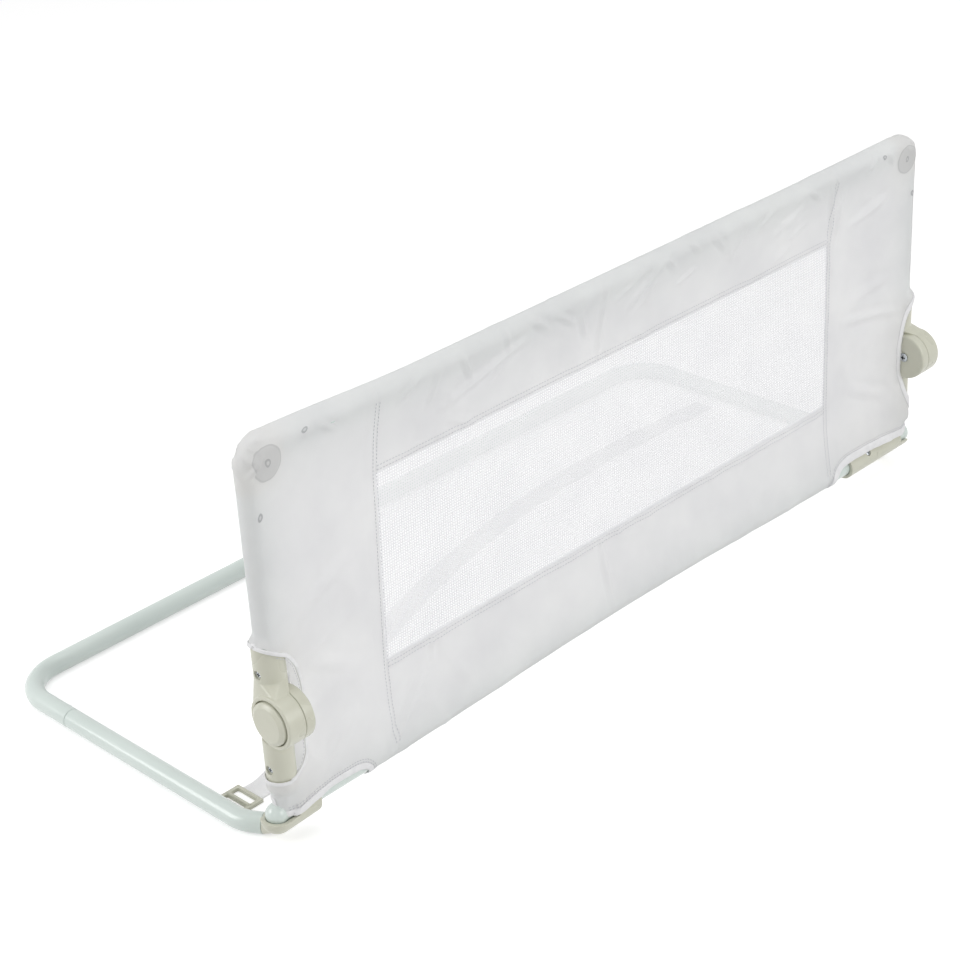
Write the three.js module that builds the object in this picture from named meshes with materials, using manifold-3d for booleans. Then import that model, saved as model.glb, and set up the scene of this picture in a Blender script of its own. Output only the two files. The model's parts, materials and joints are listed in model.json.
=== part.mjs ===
// Folding bed guard rail: a steel base frame that lies under the mattress, a lower frame that turns in
// the base's corner fittings, and an upper panel that folds down on two hinges with push buttons.
// Millimetres. X runs along the rail, +Y points under the mattress, +Z up. The sizes below are given
// from the axis of the bottom tube, and the whole is then set on the floor, centred on its outline.
import * as THREE from "three";
import { mergeVertices } from "three/addons/utils/BufferGeometryUtils.js";
import { ConvexGeometry } from "three/addons/geometries/ConvexGeometry.js";
import Module from "manifold-3d";

const wasm = await Module();
wasm.setup();

// Driving sizes
const uprightSpacing = 875;
const panelHeight = 330;
const baseDepth = 372;
const armOutset = 13.3;
const baseDrop = 26;
const tubeDiameter = 19;
const tubeWall = 1.2;
const gap = 0.3;
const overrun = 3;
const bottomBow = 7;
const bowReach = 352;

// Base frame
const rearBendRadius = 45;
const rearLegLength = 88;
const neckLength = 30;
const neckWall = 1.4;
const snapPinSetback = 15;
const snapPinRadius = 3.4;
const snapPinReach = 5;
const snapPinProud = 1;
const toeAngle = Math.PI / 6;
const toeRadius = 40;
const toeStraight = 9;
const armFront = 27;

// The two ends differ: the right fitting is longer, and more of the cover is cut away over it.
const leftEndSizes = { fittingReach: 35.5, stopScrewInset: 17.5, cornerCut: 92 };
const rightEndSizes = { fittingReach: 84, stopScrewInset: 57, cornerCut: 119 };

// Corner fittings
const fittingRadius = 13.3;
const fittingOuterEnd = 21;
const webStartAngle = -Math.PI * 0.65;
const mouthRadius = 10.7;
const mouthOutset = 9.5;
const shoulderRadius = 9.4;
const stopScrewAngle = Math.PI * 0.8;
const stopScrewRadius = 2;
const stopScrewHead = 3.2;
const stopScrewHeadDepth = 2;
const stopScrewTip = 6.5;
const stopScrewSink = 0.5;
const storageAngle = Math.PI / 2;

// Hinges
const hingeHeight = 101;
const hingeFront = 16;
const drumRadius = 24;
const drumWall = 2.5;
const drumInner = 10.3;
const drumOuter = 18;
const drumBevel = 2.2;
const buttonRadius = 19.7;
const buttonFaceRadius = 16.8;
const buttonProud = 4.3;
const buttonTravel = 4;
const buttonWall = 2.5;
const flangeRadius = 20.7;
const flangeThickness = 2;
const axleRadius = 3;
const axleHeadRadius = 4.8;
const axleHeadHeight = 2;
const axleTail = 8;
const nutRadius = 6.5;
const nutHeight = 4;
const gearRadius = 17;
const gearRoot = 14.5;
const gearTeeth = 12;
const gearThickness = 5;
const gearSeat = 1.3;
const springRadius = 10;
const springWire = 0.8;
const springTurns = 4;
const socketUpperRadius = 13.7;
const socketLowerRadius = 12.9;
const socketUpperRise = 27;
const socketUpperLength = 34;
const socketLowerDrop = 29;
const socketLowerBottom = 25;
const socketFloor = 3;
const connectorScrewUpperInset = 10;
const connectorScrewLowerInset = 20;
const screwHeadRadius = 3.4;
const screwHeadHeight = 1.6;
const screwShankRadius = 1.8;
const screwSink = 0.5;
const screwReach = 7;
const neckFrontAngle = Math.PI * 0.61;

// Top corners
const cornerRadius = 16;
const elbowReach = 30;
const spigotReach = 60;
const gussetRadius = 14;
const gussetThickness = 8;
const gussetInset = 12;
const gussetDrop = 10;
const rivetInset = 51;
const rivetShank = 2;
const rivetHead = 2.8;
const rivetHeadHeight = 0.7;
const rivetSink = 0.6;
const gussetRivetHead = 4;
const gussetRivetHeadHeight = 1.2;

// Cover
const sleeveThickness = 0.8;
const sheetThickness = 1.4;
const seamOffset = 308;
const windowBottom = 84.5;
const topBandDepth = 67.5;
const hemOverlap = 10;
const coverStubTop = 31;
const coverStubBottom = 14;
const cutoutDepth = 26.5;
const cutoutUpperShare = 0.33;
const cutoutLowerShare = 0.11;
const cutoutOverlap = 2;
const cutoutBottom = 30;
const flapRadius = 13.7;
const flapFrontAngle = Math.PI * 1.03;
const netColumns = 16;
const netRows = 5;
const netStrand = 5;

// Anchor strap and its buckle
const strapWidth = 25;
const strapThickness = 1.4;
const strapLift = 0.2;
const buckleLength = 28;
const buckleWidth = 34;
const buckleHeight = 5;
const buckleBar = 4;
const buckleFront = 60;

// Faceting
const roundSides = 16;
const tubeSides = 12;
const smallSides = 8;
const bendSteps = 5;
const bowSteps = 8;
const springSteps = 32;
const springSides = 5;
const domeRings = 6;
const strapStepsPerPoint = 3;
const weldLength = 0.004;

// Worked out from the sizes above
const tubeRadius = tubeDiameter / 2;
const tubeBore = tubeRadius - tubeWall;
const spigotRadius = tubeBore - gap;
const halfSpan = uprightSpacing / 2;
const armX = halfSpan + armOutset;
const fitRadius = tubeRadius + gap;
const seamX = halfSpan;
const hingeY = -hingeFront;
const outerFaceX = halfSpan + drumOuter;
const innerFaceX = halfSpan - drumInner;
const webTopX = seamX + gap + drumWall;
const lipBottomX = outerFaceX - drumWall;
const buttonFaceX = outerFaceX + buttonProud;
const flangeTopX = lipBottomX - gap;
const flangeBottomX = flangeTopX - flangeThickness;
const endDomeX = halfSpan + mouthOutset;
const rearLegEnd = baseDepth - rearLegLength;
const socketUpperBottom = hingeHeight + socketUpperRise;
const socketUpperTop = socketUpperBottom + socketUpperLength;
const socketLowerTop = hingeHeight - socketLowerDrop;
const connectorScrewUpper = socketUpperBottom + connectorScrewUpperInset;
const connectorScrewLower = socketLowerBottom + connectorScrewLowerInset;
const windowTop = panelHeight - topBandDepth;
const coverUpperHem = socketUpperTop - hemOverlap;
const cutoutTop = socketUpperTop - cutoutOverlap;
const sleeveInner = fitRadius;
const sleeveOuter = fitRadius + sleeveThickness;
const wrapRoom = sleeveOuter + gap;
const cuffRadius = socketLowerRadius + gap + sleeveThickness;
const cuffRoom = cuffRadius + gap;
const floorDrop = baseDrop + tubeRadius;
const outlineMiddle = (baseDepth + tubeRadius + hingeY - drumRadius) / 2;

const steelColor = 0xd7e0da;
const creamColor = 0xdedccf;
const zincColor = 0xa9adb0;
const fabricColor = 0xe6e6ea;
const netColor = 0xdcdce2;

const paint = material(steelColor, 0.45, 0.1);
const cream = material(creamColor, 0.35, 0);
const zinc = material(zincColor, 0.35, 0.9);
const fabric = material(fabricColor, 0.9, 0);
const netting = material(netColor, 0.95, 0);

function material(color, roughness, metalness) {
  return new THREE.MeshStandardMaterial({ color, roughness, metalness });
}

function at(x, y, z) {
  return new THREE.Vector3(x, y, z);
}

// A closed geometry as a solid that can be joined and cut, turned so that its faces point out.
function solid(geometry) {
  const bare = geometry.clone();
  bare.deleteAttribute("normal");
  bare.deleteAttribute("uv");
  const merged = mergeVertices(bare);
  const corners = merged.index.array;
  const triVerts = [];
  for (let i = 0; i < corners.length; i += 3) {
    const [a, b, c] = [corners[i], corners[i + 1], corners[i + 2]];
    if (a !== b && b !== c && c !== a) {
      triVerts.push(a, b, c);
    }
  }
  const vertProperties = merged.attributes.position.array;
  const made = manifold(vertProperties, triVerts);
  return made.volume() < 0 ? manifold(vertProperties, triVerts.reverse()) : made;
}

function manifold(vertProperties, triVerts) {
  const mesh = new wasm.Mesh({ numProp: 3, vertProperties, triVerts: new Uint32Array(triVerts) });
  return new wasm.Manifold(mesh);
}

function surface(shape) {
  const { vertProperties, triVerts } = shape.getMesh();
  const geometry = new THREE.BufferGeometry();
  geometry.setAttribute("position", new THREE.BufferAttribute(vertProperties, 3));
  geometry.setIndex(new THREE.BufferAttribute(triVerts, 1));
  return geometry;
}

function join(...parts) {
  return surface(parts.map(solid).reduce((sum, next) => sum.add(next)));
}

function cut(base, ...cutters) {
  return surface(cutters.map(solid).reduce((rest, next) => rest.subtract(next), solid(base)));
}

// A round bar between two points.
function rod(radius, from, to, sides = roundSides) {
  const axis = to.clone().sub(from);
  const bar = new THREE.CylinderGeometry(radius, radius, axis.length(), sides);
  const upward = new THREE.Vector3(0, 1, 0);
  bar.applyQuaternion(new THREE.Quaternion().setFromUnitVectors(upward, axis.clone().normalize()));
  const middle = from.clone().add(to).divideScalar(2);
  return bar.translate(middle.x, middle.y, middle.z);
}

function block(low, high) {
  const size = high.clone().sub(low);
  const middle = low.clone().add(high).divideScalar(2);
  return new THREE.BoxGeometry(size.x, size.y, size.z).translate(middle.x, middle.y, middle.z);
}

// A profile of [radius, x] points turned about the X axis.
function turned(profile, sides = roundSides) {
  const points = profile.map(([radius, x]) => new THREE.Vector2(radius, x));
  return new THREE.LatheGeometry(points, sides).rotateZ(-Math.PI / 2);
}

// A profile of [y, z] points drawn out along X.
function slab(profile, fromX, toX) {
  const shape = new THREE.Shape(profile.map(([y, z]) => new THREE.Vector2(y, z)));
  const drawn = new THREE.ExtrudeGeometry(shape, { depth: toX - fromX, bevelEnabled: false });
  const turn = new THREE.Matrix4().makeBasis(at(0, 1, 0), at(0, 0, 1), at(1, 0, 0));
  return drawn.applyMatrix4(turn).translate(fromX, 0, 0);
}

// An upright sheet from an outline of [x, z] points, centred on the tubes' plane.
function sheet(outline, thickness) {
  const shape = new THREE.Shape(outline.map(([x, z]) => new THREE.Vector2(x, z)));
  const drawn = new THREE.ExtrudeGeometry(shape, { depth: thickness, bevelEnabled: false });
  return drawn.rotateX(Math.PI / 2).translate(0, thickness / 2, 0);
}

function rectangle(x0, x1, z0, z1) {
  return [
    [x0, z0],
    [x1, z0],
    [x1, z1],
    [x0, z1],
  ];
}

// A curve through stations that each hold a point and the direction there.
class Route extends THREE.Curve {
  constructor(stations) {
    super();
    this.stations = stations;
    this.steps = stations.length - 1;
  }
  getPointAt(share) {
    return this.stations[Math.round(share * this.steps)].point.clone();
  }
  getTangentAt(share) {
    return this.stations[Math.round(share * this.steps)].tangent.clone();
  }
}

// Straight runs through the corners, with each corner rounded to the bend radius.
function bentRoute(corners, radius) {
  const heading = (from, to) => to.clone().sub(from).normalize();
  const stations = [{ point: corners[0], tangent: heading(corners[0], corners[1]) }];
  for (let i = 1; i < corners.length - 1; i++) {
    const before = heading(corners[i - 1], corners[i]);
    const after = heading(corners[i], corners[i + 1]);
    const turn = before.angleTo(after);
    const start = corners[i].clone().addScaledVector(before, -radius * Math.tan(turn / 2));
    const inward = after.clone().addScaledVector(before, -after.dot(before)).normalize();
    for (let step = 0; step <= bendSteps; step++) {
      const angle = (turn * step) / bendSteps;
      const point = start.clone().addScaledVector(before, radius * Math.sin(angle));
      point.addScaledVector(inward, radius * (1 - Math.cos(angle)));
      const tangent = before.clone().multiplyScalar(Math.cos(angle));
      tangent.addScaledVector(inward, Math.sin(angle));
      stations.push({ point, tangent });
    }
  }
  const last = corners.length - 1;
  stations.push({ point: corners[last], tangent: heading(corners[last - 1], corners[last]) });
  return new Route(stations);
}

// The height of the bottom tube's axis, which bows up between the corner fittings.
function bowHeight(x) {
  const share = Math.min(Math.abs(x) / bowReach, 1);
  return bottomBow * (1 - share ** 2) ** 2;
}

function bowedRoute(fromX, toX, steps) {
  const stations = [];
  for (let step = 0; step <= steps; step++) {
    const x = fromX + ((toX - fromX) * step) / steps;
    stations.push({ point: at(x, 0, bowHeight(x)), tangent: at(1, 0, 0) });
  }
  return new Route(stations);
}

function circle(radius, sides) {
  const points = [];
  for (let i = 0; i < sides; i++) {
    const angle = (2 * Math.PI * i) / sides;
    points.push(new THREE.Vector2(radius * Math.cos(angle), radius * Math.sin(angle)));
  }
  return points;
}

// A round bar, or with a bore a tube, along a route.
function swept(route, outer, bore = 0, sides = tubeSides) {
  const shape = new THREE.Shape(circle(outer, sides));
  if (bore > 0) {
    shape.holes.push(new THREE.Path(circle(bore, sides)));
  }
  return new THREE.ExtrudeGeometry(shape, { steps: route.steps, extrudePath: route });
}

function straight(from, to) {
  return bentRoute([from, to], 0);
}

function tube(from, to) {
  return swept(straight(from, to), tubeRadius, tubeBore);
}

function arc(centreY, centreZ, radius, fromAngle, toAngle, steps) {
  const points = [];
  for (let i = 0; i <= steps; i++) {
    const angle = fromAngle + ((toAngle - fromAngle) * i) / steps;
    points.push([centreY + radius * Math.cos(angle), centreZ + radius * Math.sin(angle)]);
  }
  return points;
}

// The pieces of one end of the rail are drawn for the +X end and mirrored for the other.

function stopScrewDirection() {
  return at(0, Math.cos(stopScrewAngle), Math.sin(stopScrewAngle));
}

function stopScrewBar(inset, radius, fromReach, toReach) {
  const along = (reach) => stopScrewDirection().multiplyScalar(reach).add(at(halfSpan - inset, 0, 0));
  return rod(radius, along(fromReach), along(toReach), smallSides);
}

function stopScrew(inset) {
  const top = fittingRadius - stopScrewSink;
  const head = stopScrewBar(inset, stopScrewHead, top - stopScrewHeadDepth, top);
  return join(head, stopScrewBar(inset, stopScrewRadius, stopScrewTip, top));
}

// The arm's front end turns in towards the fitting by the toe angle.
function armCorners() {
  const along = at(-Math.sin(toeAngle), -Math.cos(toeAngle), 0);
  const run = toeRadius * Math.tan(toeAngle / 2) + toeStraight;
  const corner = at(armX, armFront + run * Math.cos(toeAngle), -baseDrop);
  const front = corner.clone().addScaledVector(along, run);
  return { along, corner, front };
}

function snapPinAxis(fromX, toX, radius) {
  const y = rearLegEnd + snapPinSetback;
  return rod(radius, at(fromX, y, -baseDrop), at(toX, y, -baseDrop), smallSides);
}

function snapPinHole() {
  return snapPinAxis(armX - tubeRadius - overrun, armX - snapPinReach, snapPinRadius + gap);
}

function snapPin() {
  return snapPinAxis(armX - tubeRadius - snapPinProud, armX - snapPinReach, snapPinRadius);
}

function baseArm() {
  const { corner, front } = armCorners();
  const end = at(armX, rearLegEnd - gap, -baseDrop);
  const body = swept(bentRoute([front, corner, end], toeRadius), tubeRadius, tubeBore);
  const neckBore = spigotRadius - neckWall;
  const shoulder = end.clone().add(at(0, -neckWall, 0));
  const tip = end.clone().add(at(0, neckLength, 0));
  const collar = swept(straight(shoulder, end), tubeBore + tubeWall / 2, neckBore);
  const neck = swept(straight(shoulder, tip), spigotRadius, neckBore);
  return cut(join(body, collar, neck), snapPinHole());
}

function rearTube() {
  const corners = [
    at(-armX, rearLegEnd, -baseDrop),
    at(-armX, baseDepth, -baseDrop),
    at(armX, baseDepth, -baseDrop),
    at(armX, rearLegEnd, -baseDrop),
  ];
  const hole = snapPinHole();
  const otherHole = snapPinHole().scale(-1, 1, 1);
  const body = swept(bentRoute(corners, rearBendRadius), tubeRadius, tubeBore);
  return cut(body, hole, otherHole);
}

// The fitting is a sleeve around the bottom tube, a web down to the arm, and a spigot inside the arm.
function cornerFitting({ fittingReach, stopScrewInset }) {
  const { along, front } = armCorners();
  const innerEnd = halfSpan - fittingReach;
  const outerEnd = halfSpan + fittingOuterEnd;
  const sleeve = rod(fittingRadius, at(innerEnd, 0, 0), at(outerEnd, 0, 0));
  const seat = front.clone().addScaledVector(along, gap);
  const across = at(Math.cos(toeAngle), -Math.sin(toeAngle), 0);
  const points = [];
  for (let i = 0; i < tubeSides; i++) {
    const angle = (2 * Math.PI * i) / tubeSides;
    const point = seat.clone().addScaledVector(across, shoulderRadius * Math.cos(angle));
    points.push(point.add(at(0, 0, shoulderRadius * Math.sin(angle))));
  }
  for (const [y, z] of arc(0, 0, fittingRadius - gap, webStartAngle, 0, tubeSides / 2)) {
    points.push(at(halfSpan - tubeRadius, y, z));
    points.push(at(outerEnd - gap, y, z));
  }
  const web = new ConvexGeometry(points);
  const spigotTip = front.clone().addScaledVector(along, -toeStraight);
  const spigotRoot = front.clone().addScaledVector(along, tubeRadius);
  const spigot = rod(spigotRadius, spigotTip, spigotRoot, tubeSides);
  const swingTop = baseDrop + tubeDiameter;
  const bore = rod(fitRadius, at(innerEnd - overrun, 0, 0), at(halfSpan, 0, 0));
  const mouth = rod(mouthRadius, at(halfSpan - wrapRoom, 0, 0), at(outerEnd + overrun, 0, 0));
  const swing = block(
    at(halfSpan - wrapRoom, -wrapRoom, -wrapRoom),
    at(halfSpan + wrapRoom, swingTop, swingTop),
  );
  const coverRoom = block(
    at(halfSpan - cuffRoom, fitRadius, -cuffRoom),
    at(outerEnd + overrun, swingTop, swingTop),
  );
  const reach = fittingRadius * 2;
  const wedge = slab(
    [
      [-reach, 0],
      [reach, 0],
      [reach, reach],
      [-reach, reach],
    ],
    -reach,
    reach,
  );
  wedge.rotateY(Math.PI / 4).translate(endDomeX, 0, 0);
  const seatReach = fittingRadius - stopScrewSink - stopScrewHeadDepth - gap;
  const recess = stopScrewBar(stopScrewInset, stopScrewHead + gap, seatReach, fittingRadius + overrun);
  const screwHole = stopScrewBar(stopScrewInset, stopScrewRadius + gap, 0, fittingRadius);
  return cut(join(sleeve, web, spigot), bore, mouth, swing, coverRoom, wedge, recess, screwHole);
}

// A bar that follows the bottom tube's bow and runs straight on to both ends.
function bowedBar(radius) {
  const end = (side) => rod(radius, at(side * (bowReach - overrun), 0, 0), at(side * endDomeX, 0, 0), tubeSides);
  return join(swept(bowedRoute(-bowReach, bowReach, bowSteps), radius), end(1), end(-1));
}

// The bottom tube, with rounded heels, a hole under each stub and a slot for each stop screw.
function bottomTube() {
  const skin = (radius) => join(bowedBar(radius), heel(radius, 1), heel(radius, -1));
  const cutters = [];
  for (const x of [halfSpan, -halfSpan]) {
    cutters.push(rod(spigotRadius, at(x, 0, 0), at(x, 0, tubeDiameter), tubeSides));
  }
  cutters.push(stopSlot(rightEndSizes.stopScrewInset));
  cutters.push(stopSlot(leftEndSizes.stopScrewInset).scale(-1, 1, 1));
  return cut(skin(tubeRadius), skin(tubeBore), ...cutters);
}

function heel(radius, side) {
  const ball = new THREE.SphereGeometry(radius, tubeSides, domeRings);
  return ball.rotateZ(Math.PI / 2).translate(side * endDomeX, 0, 0);
}

// The slot lets the stop screw's tip pass as the lower frame turns through the storage angle.
function stopSlot(inset) {
  const margin = (stopScrewRadius + gap) / tubeBore;
  const from = stopScrewAngle - margin;
  const to = stopScrewAngle + storageAngle + margin;
  const outer = arc(0, 0, tubeRadius + overrun, from, to, tubeSides / 2);
  const inner = arc(0, 0, tubeBore - overrun, to, from, tubeSides / 2);
  const middle = halfSpan - inset;
  const half = stopScrewRadius + gap;
  return slab([...outer, ...inner], middle - half, middle + half);
}

function stub() {
  const top = at(halfSpan, 0, socketLowerTop - socketFloor - gap);
  const body = tube(at(halfSpan, 0, 0), top);
  const saddle = rod(fitRadius, at(halfSpan - fittingRadius, 0, 0), at(endDomeX, 0, 0), tubeSides);
  return cut(body, saddle, connectorScrewHole(connectorScrewLower));
}

function upright() {
  const bottom = at(halfSpan, 0, socketUpperBottom + socketFloor + gap);
  const top = at(halfSpan, 0, panelHeight - elbowReach - gap);
  const body = tube(bottom, top);
  const rivetHole = rivetBar(rivetHead + gap, tubeDiameter, halfSpan, panelHeight - rivetInset);
  return cut(body, connectorScrewHole(connectorScrewUpper), rivetHole);
}

function topTube() {
  const end = halfSpan - elbowReach - gap;
  const body = tube(at(-end, 0, panelHeight), at(end, 0, panelHeight));
  const hole = (side) => rivetBar(rivetHead + gap, tubeDiameter, side * rivetX(), panelHeight);
  return cut(body, hole(1), hole(-1));
}

function rivetX() {
  return halfSpan - rivetInset;
}

function rivetBar(radius, reach, x, z, sides = smallSides) {
  return rod(radius, at(x, -reach, z), at(x, reach, z), sides);
}

// A rivet set flush in the tube: two heads in the tube's wall on a shank through the spigot.
function flushRivet(x, z) {
  const outer = tubeRadius - rivetSink;
  const inner = outer - rivetHeadHeight;
  const front = rod(rivetHead, at(x, -outer, z), at(x, -inner, z), smallSides);
  const back = rod(rivetHead, at(x, inner, z), at(x, outer, z), smallSides);
  return join(front, rivetBar(rivetShank, outer, x, z), back);
}

function gussetRivet() {
  const x = halfSpan - gussetInset;
  const z = panelHeight - gussetDrop;
  const inner = gussetThickness / 2 + gap;
  const outer = inner + gussetRivetHeadHeight;
  const front = rod(gussetRivetHead, at(x, -outer, z), at(x, -inner, z), smallSides);
  const back = rod(gussetRivetHead, at(x, inner, z), at(x, outer, z), smallSides);
  return join(front, rivetBar(rivetShank, outer, x, z), back);
}

function gussetDisc(radius, thickness) {
  const [x, z] = [halfSpan - gussetInset, panelHeight - gussetDrop];
  return rivetBar(radius, thickness / 2, x, z, roundSides);
}

// Room for a gusset rivet's head on one side of the elbow.
function gussetRecess(side) {
  const [x, z] = [halfSpan - gussetInset, panelHeight - gussetDrop];
  const from = at(x, (side * gussetThickness) / 2, z);
  return rod(gussetRivetHead + gap, from, at(x, side * tubeDiameter, z), smallSides);
}

// The elbow is flush with the tubes and has a spigot inside each of them and a round gusset.
function cornerElbow() {
  const corner = at(halfSpan, 0, panelHeight);
  const legs = (reach) => [
    corner.clone().add(at(0, 0, -reach)),
    corner,
    corner.clone().add(at(-reach, 0, 0)),
  ];
  const body = swept(bentRoute(legs(elbowReach), cornerRadius), tubeRadius);
  const spigots = swept(bentRoute(legs(spigotReach), cornerRadius), spigotRadius);
  const gusset = gussetDisc(gussetRadius, gussetThickness);
  const hole = rivetShank + gap;
  return cut(
    join(body, spigots, gusset),
    rivetBar(hole, tubeDiameter, rivetX(), panelHeight),
    rivetBar(hole, tubeDiameter, halfSpan, panelHeight - rivetInset),
    rivetBar(hole, tubeDiameter, halfSpan - gussetInset, panelHeight - gussetDrop),
    gussetRecess(1),
    gussetRecess(-1),
  );
}

function screwBar(radius, fromReach, toReach, z) {
  return rod(radius, at(halfSpan + fromReach, 0, z), at(halfSpan + toReach, 0, z), smallSides);
}

function connectorScrewHole(z) {
  return screwBar(screwShankRadius + gap, 0, tubeDiameter, z);
}

function screwRecess(socketRadius, z) {
  const seat = socketRadius - screwSink - screwHeadHeight - gap;
  return screwBar(screwHeadRadius + gap, seat, socketRadius + overrun, z);
}

function connectorScrew(socketRadius, z) {
  const top = socketRadius - screwSink;
  const head = screwBar(screwHeadRadius, top - screwHeadHeight, top, z);
  return join(head, screwBar(screwShankRadius, screwReach, top, z));
}

function onHingeAxis(radius, fromX, toX, sides = roundSides) {
  return rod(radius, at(fromX, hingeY, hingeHeight), at(toX, hingeY, hingeHeight), sides);
}

// The outer half of the drum, its neck and the socket for the upright, in one moulding.
function upperHousing() {
  const drum = turned([
    [0, seamX + gap],
    [drumRadius, seamX + gap],
    [drumRadius, outerFaceX - drumBevel],
    [drumRadius - drumBevel, outerFaceX],
    [0, outerFaceX],
  ]).translate(0, hingeY, hingeHeight);
  const socket = rod(
    socketUpperRadius,
    at(halfSpan, 0, socketUpperBottom),
    at(halfSpan, 0, socketUpperTop),
  );
  const front = arc(hingeY, hingeHeight, drumRadius, neckFrontAngle, neckFrontAngle, 1)[0];
  const profile = [
    [hingeY, hingeHeight],
    [hingeY + drumRadius, hingeHeight],
    [socketUpperRadius, socketUpperBottom + socketFloor],
    [-socketUpperRadius, socketUpperBottom + socketFloor],
    front,
  ];
  const neck = slab(profile, seamX + gap, halfSpan + socketUpperRadius);
  return cut(
    join(drum, neck, socket),
    onHingeAxis(drumRadius - drumWall, webTopX, lipBottomX),
    onHingeAxis(buttonRadius + gap, webTopX, outerFaceX + overrun),
    onHingeAxis(axleRadius + gap, seamX - overrun, outerFaceX),
    rod(
      fitRadius,
      at(halfSpan, 0, socketUpperBottom + socketFloor),
      at(halfSpan, 0, socketUpperTop + overrun),
      tubeSides,
    ),
    screwRecess(socketUpperRadius, connectorScrewUpper),
    connectorScrewHole(connectorScrewUpper),
  );
}

// The inner half of the drum, its neck and the socket for the stub.
function lowerHousing() {
  const drum = turned([
    [0, innerFaceX],
    [drumRadius - drumBevel, innerFaceX],
    [drumRadius, innerFaceX + drumBevel],
    [drumRadius, seamX],
    [0, seamX],
  ]).translate(0, hingeY, hingeHeight);
  const socket = rod(
    socketLowerRadius,
    at(halfSpan, 0, socketLowerBottom),
    at(halfSpan, 0, socketLowerTop),
  );
  const profile = [
    [hingeY, hingeHeight],
    [-socketLowerRadius, hingeHeight - drumRadius + gap],
    [-socketLowerRadius, socketLowerTop - socketFloor],
    [socketLowerRadius, socketLowerTop - socketFloor],
    [hingeY + drumRadius, hingeHeight],
  ];
  const neck = slab(profile, halfSpan - socketLowerRadius, seamX);
  return cut(
    join(drum, neck, socket),
    onHingeAxis(drumRadius - drumWall, innerFaceX + drumWall, seamX + overrun),
    onHingeAxis(axleRadius + gap, innerFaceX - overrun, seamX),
    onHingeAxis(drumRadius + gap, halfSpan - drumRadius, innerFaceX),
    rod(
      fitRadius,
      at(halfSpan, 0, socketLowerBottom - overrun),
      at(halfSpan, 0, socketLowerTop - socketFloor),
      tubeSides,
    ),
    screwRecess(socketLowerRadius, connectorScrewLower),
    connectorScrewHole(connectorScrewLower),
  );
}

function pushButton() {
  const inner = buttonFaceRadius - gap;
  return turned([
    [0, buttonFaceX],
    [buttonFaceRadius, buttonFaceX],
    [buttonRadius, buttonFaceX - drumBevel],
    [buttonRadius, flangeTopX],
    [flangeRadius, flangeTopX],
    [flangeRadius, flangeBottomX],
    [inner, flangeBottomX],
    [inner, buttonFaceX - buttonWall],
    [0, buttonFaceX - buttonWall],
  ]).translate(0, hingeY, hingeHeight);
}

function hingeAxle() {
  const head = innerFaceX - gap;
  return turned([
    [0, head - axleHeadHeight],
    [axleHeadRadius, head - axleHeadHeight],
    [axleHeadRadius, head],
    [axleRadius, head],
    [axleRadius, halfSpan + axleTail],
    [0, halfSpan + axleTail],
  ]).translate(0, hingeY, hingeHeight);
}

function axleNut() {
  const from = webTopX + gap;
  const body = onHingeAxis(nutRadius, from, from + nutHeight, 6);
  return cut(body, onHingeAxis(axleRadius + gap, from - overrun, from + nutHeight + overrun));
}

// The lock gear's straight-sided teeth stand between the root and the tip circle.
function lockGear() {
  const profile = [];
  const pitch = (2 * Math.PI) / gearTeeth;
  const edgeShares = [
    [0.05, gearRoot],
    [0.2, gearRadius],
    [0.55, gearRadius],
    [0.7, gearRoot],
  ];
  for (let tooth = 0; tooth < gearTeeth; tooth++) {
    for (const [share, radius] of edgeShares) {
      const angle = pitch * (tooth + share);
      profile.push([hingeY + radius * Math.cos(angle), hingeHeight + radius * Math.sin(angle)]);
    }
  }
  const from = innerFaceX + drumWall + gearSeat;
  const body = slab(profile, from, from + gearThickness);
  return cut(body, onHingeAxis(axleRadius + gap, from - overrun, from + gearThickness + overrun));
}

class Coil extends THREE.Curve {
  getPoint(share) {
    const from = webTopX + gap + springWire;
    const to = buttonFaceX - buttonWall - buttonTravel - gap - springWire;
    const angle = 2 * Math.PI * springTurns * share;
    return at(
      from + (to - from) * share,
      hingeY + springRadius * Math.cos(angle),
      hingeHeight + springRadius * Math.sin(angle),
    );
  }
}

function returnSpring() {
  const shape = new THREE.Shape(circle(springWire, springSides));
  return new THREE.ExtrudeGeometry(shape, { steps: springSteps, extrudePath: new Coil() });
}

// Cover: the sleeves are tubes of cloth around the frame, the panels a sheet in the frame's plane.

function hingeCutout() {
  const edge = halfSpan - cutoutDepth;
  const outside = halfSpan + cutoutDepth;
  return [
    [outside, cutoutTop],
    [halfSpan - socketUpperRadius, cutoutTop - socketFloor],
    [edge + cutoutDepth * cutoutUpperShare, cutoutTop - cutoutDepth / 2],
    [edge, hingeHeight],
    [edge + cutoutDepth * cutoutLowerShare, cutoutBottom + cutoutDepth],
    [halfSpan - socketLowerRadius - gap, cutoutBottom],
    [outside, cutoutBottom],
  ].reverse();
}

function cutoutBlock() {
  return sheet(hingeCutout(), tubeDiameter * 2);
}

function standingRod(radius, fromZ, toZ) {
  return rod(radius, at(halfSpan, 0, fromZ), at(halfSpan, 0, toZ));
}

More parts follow.
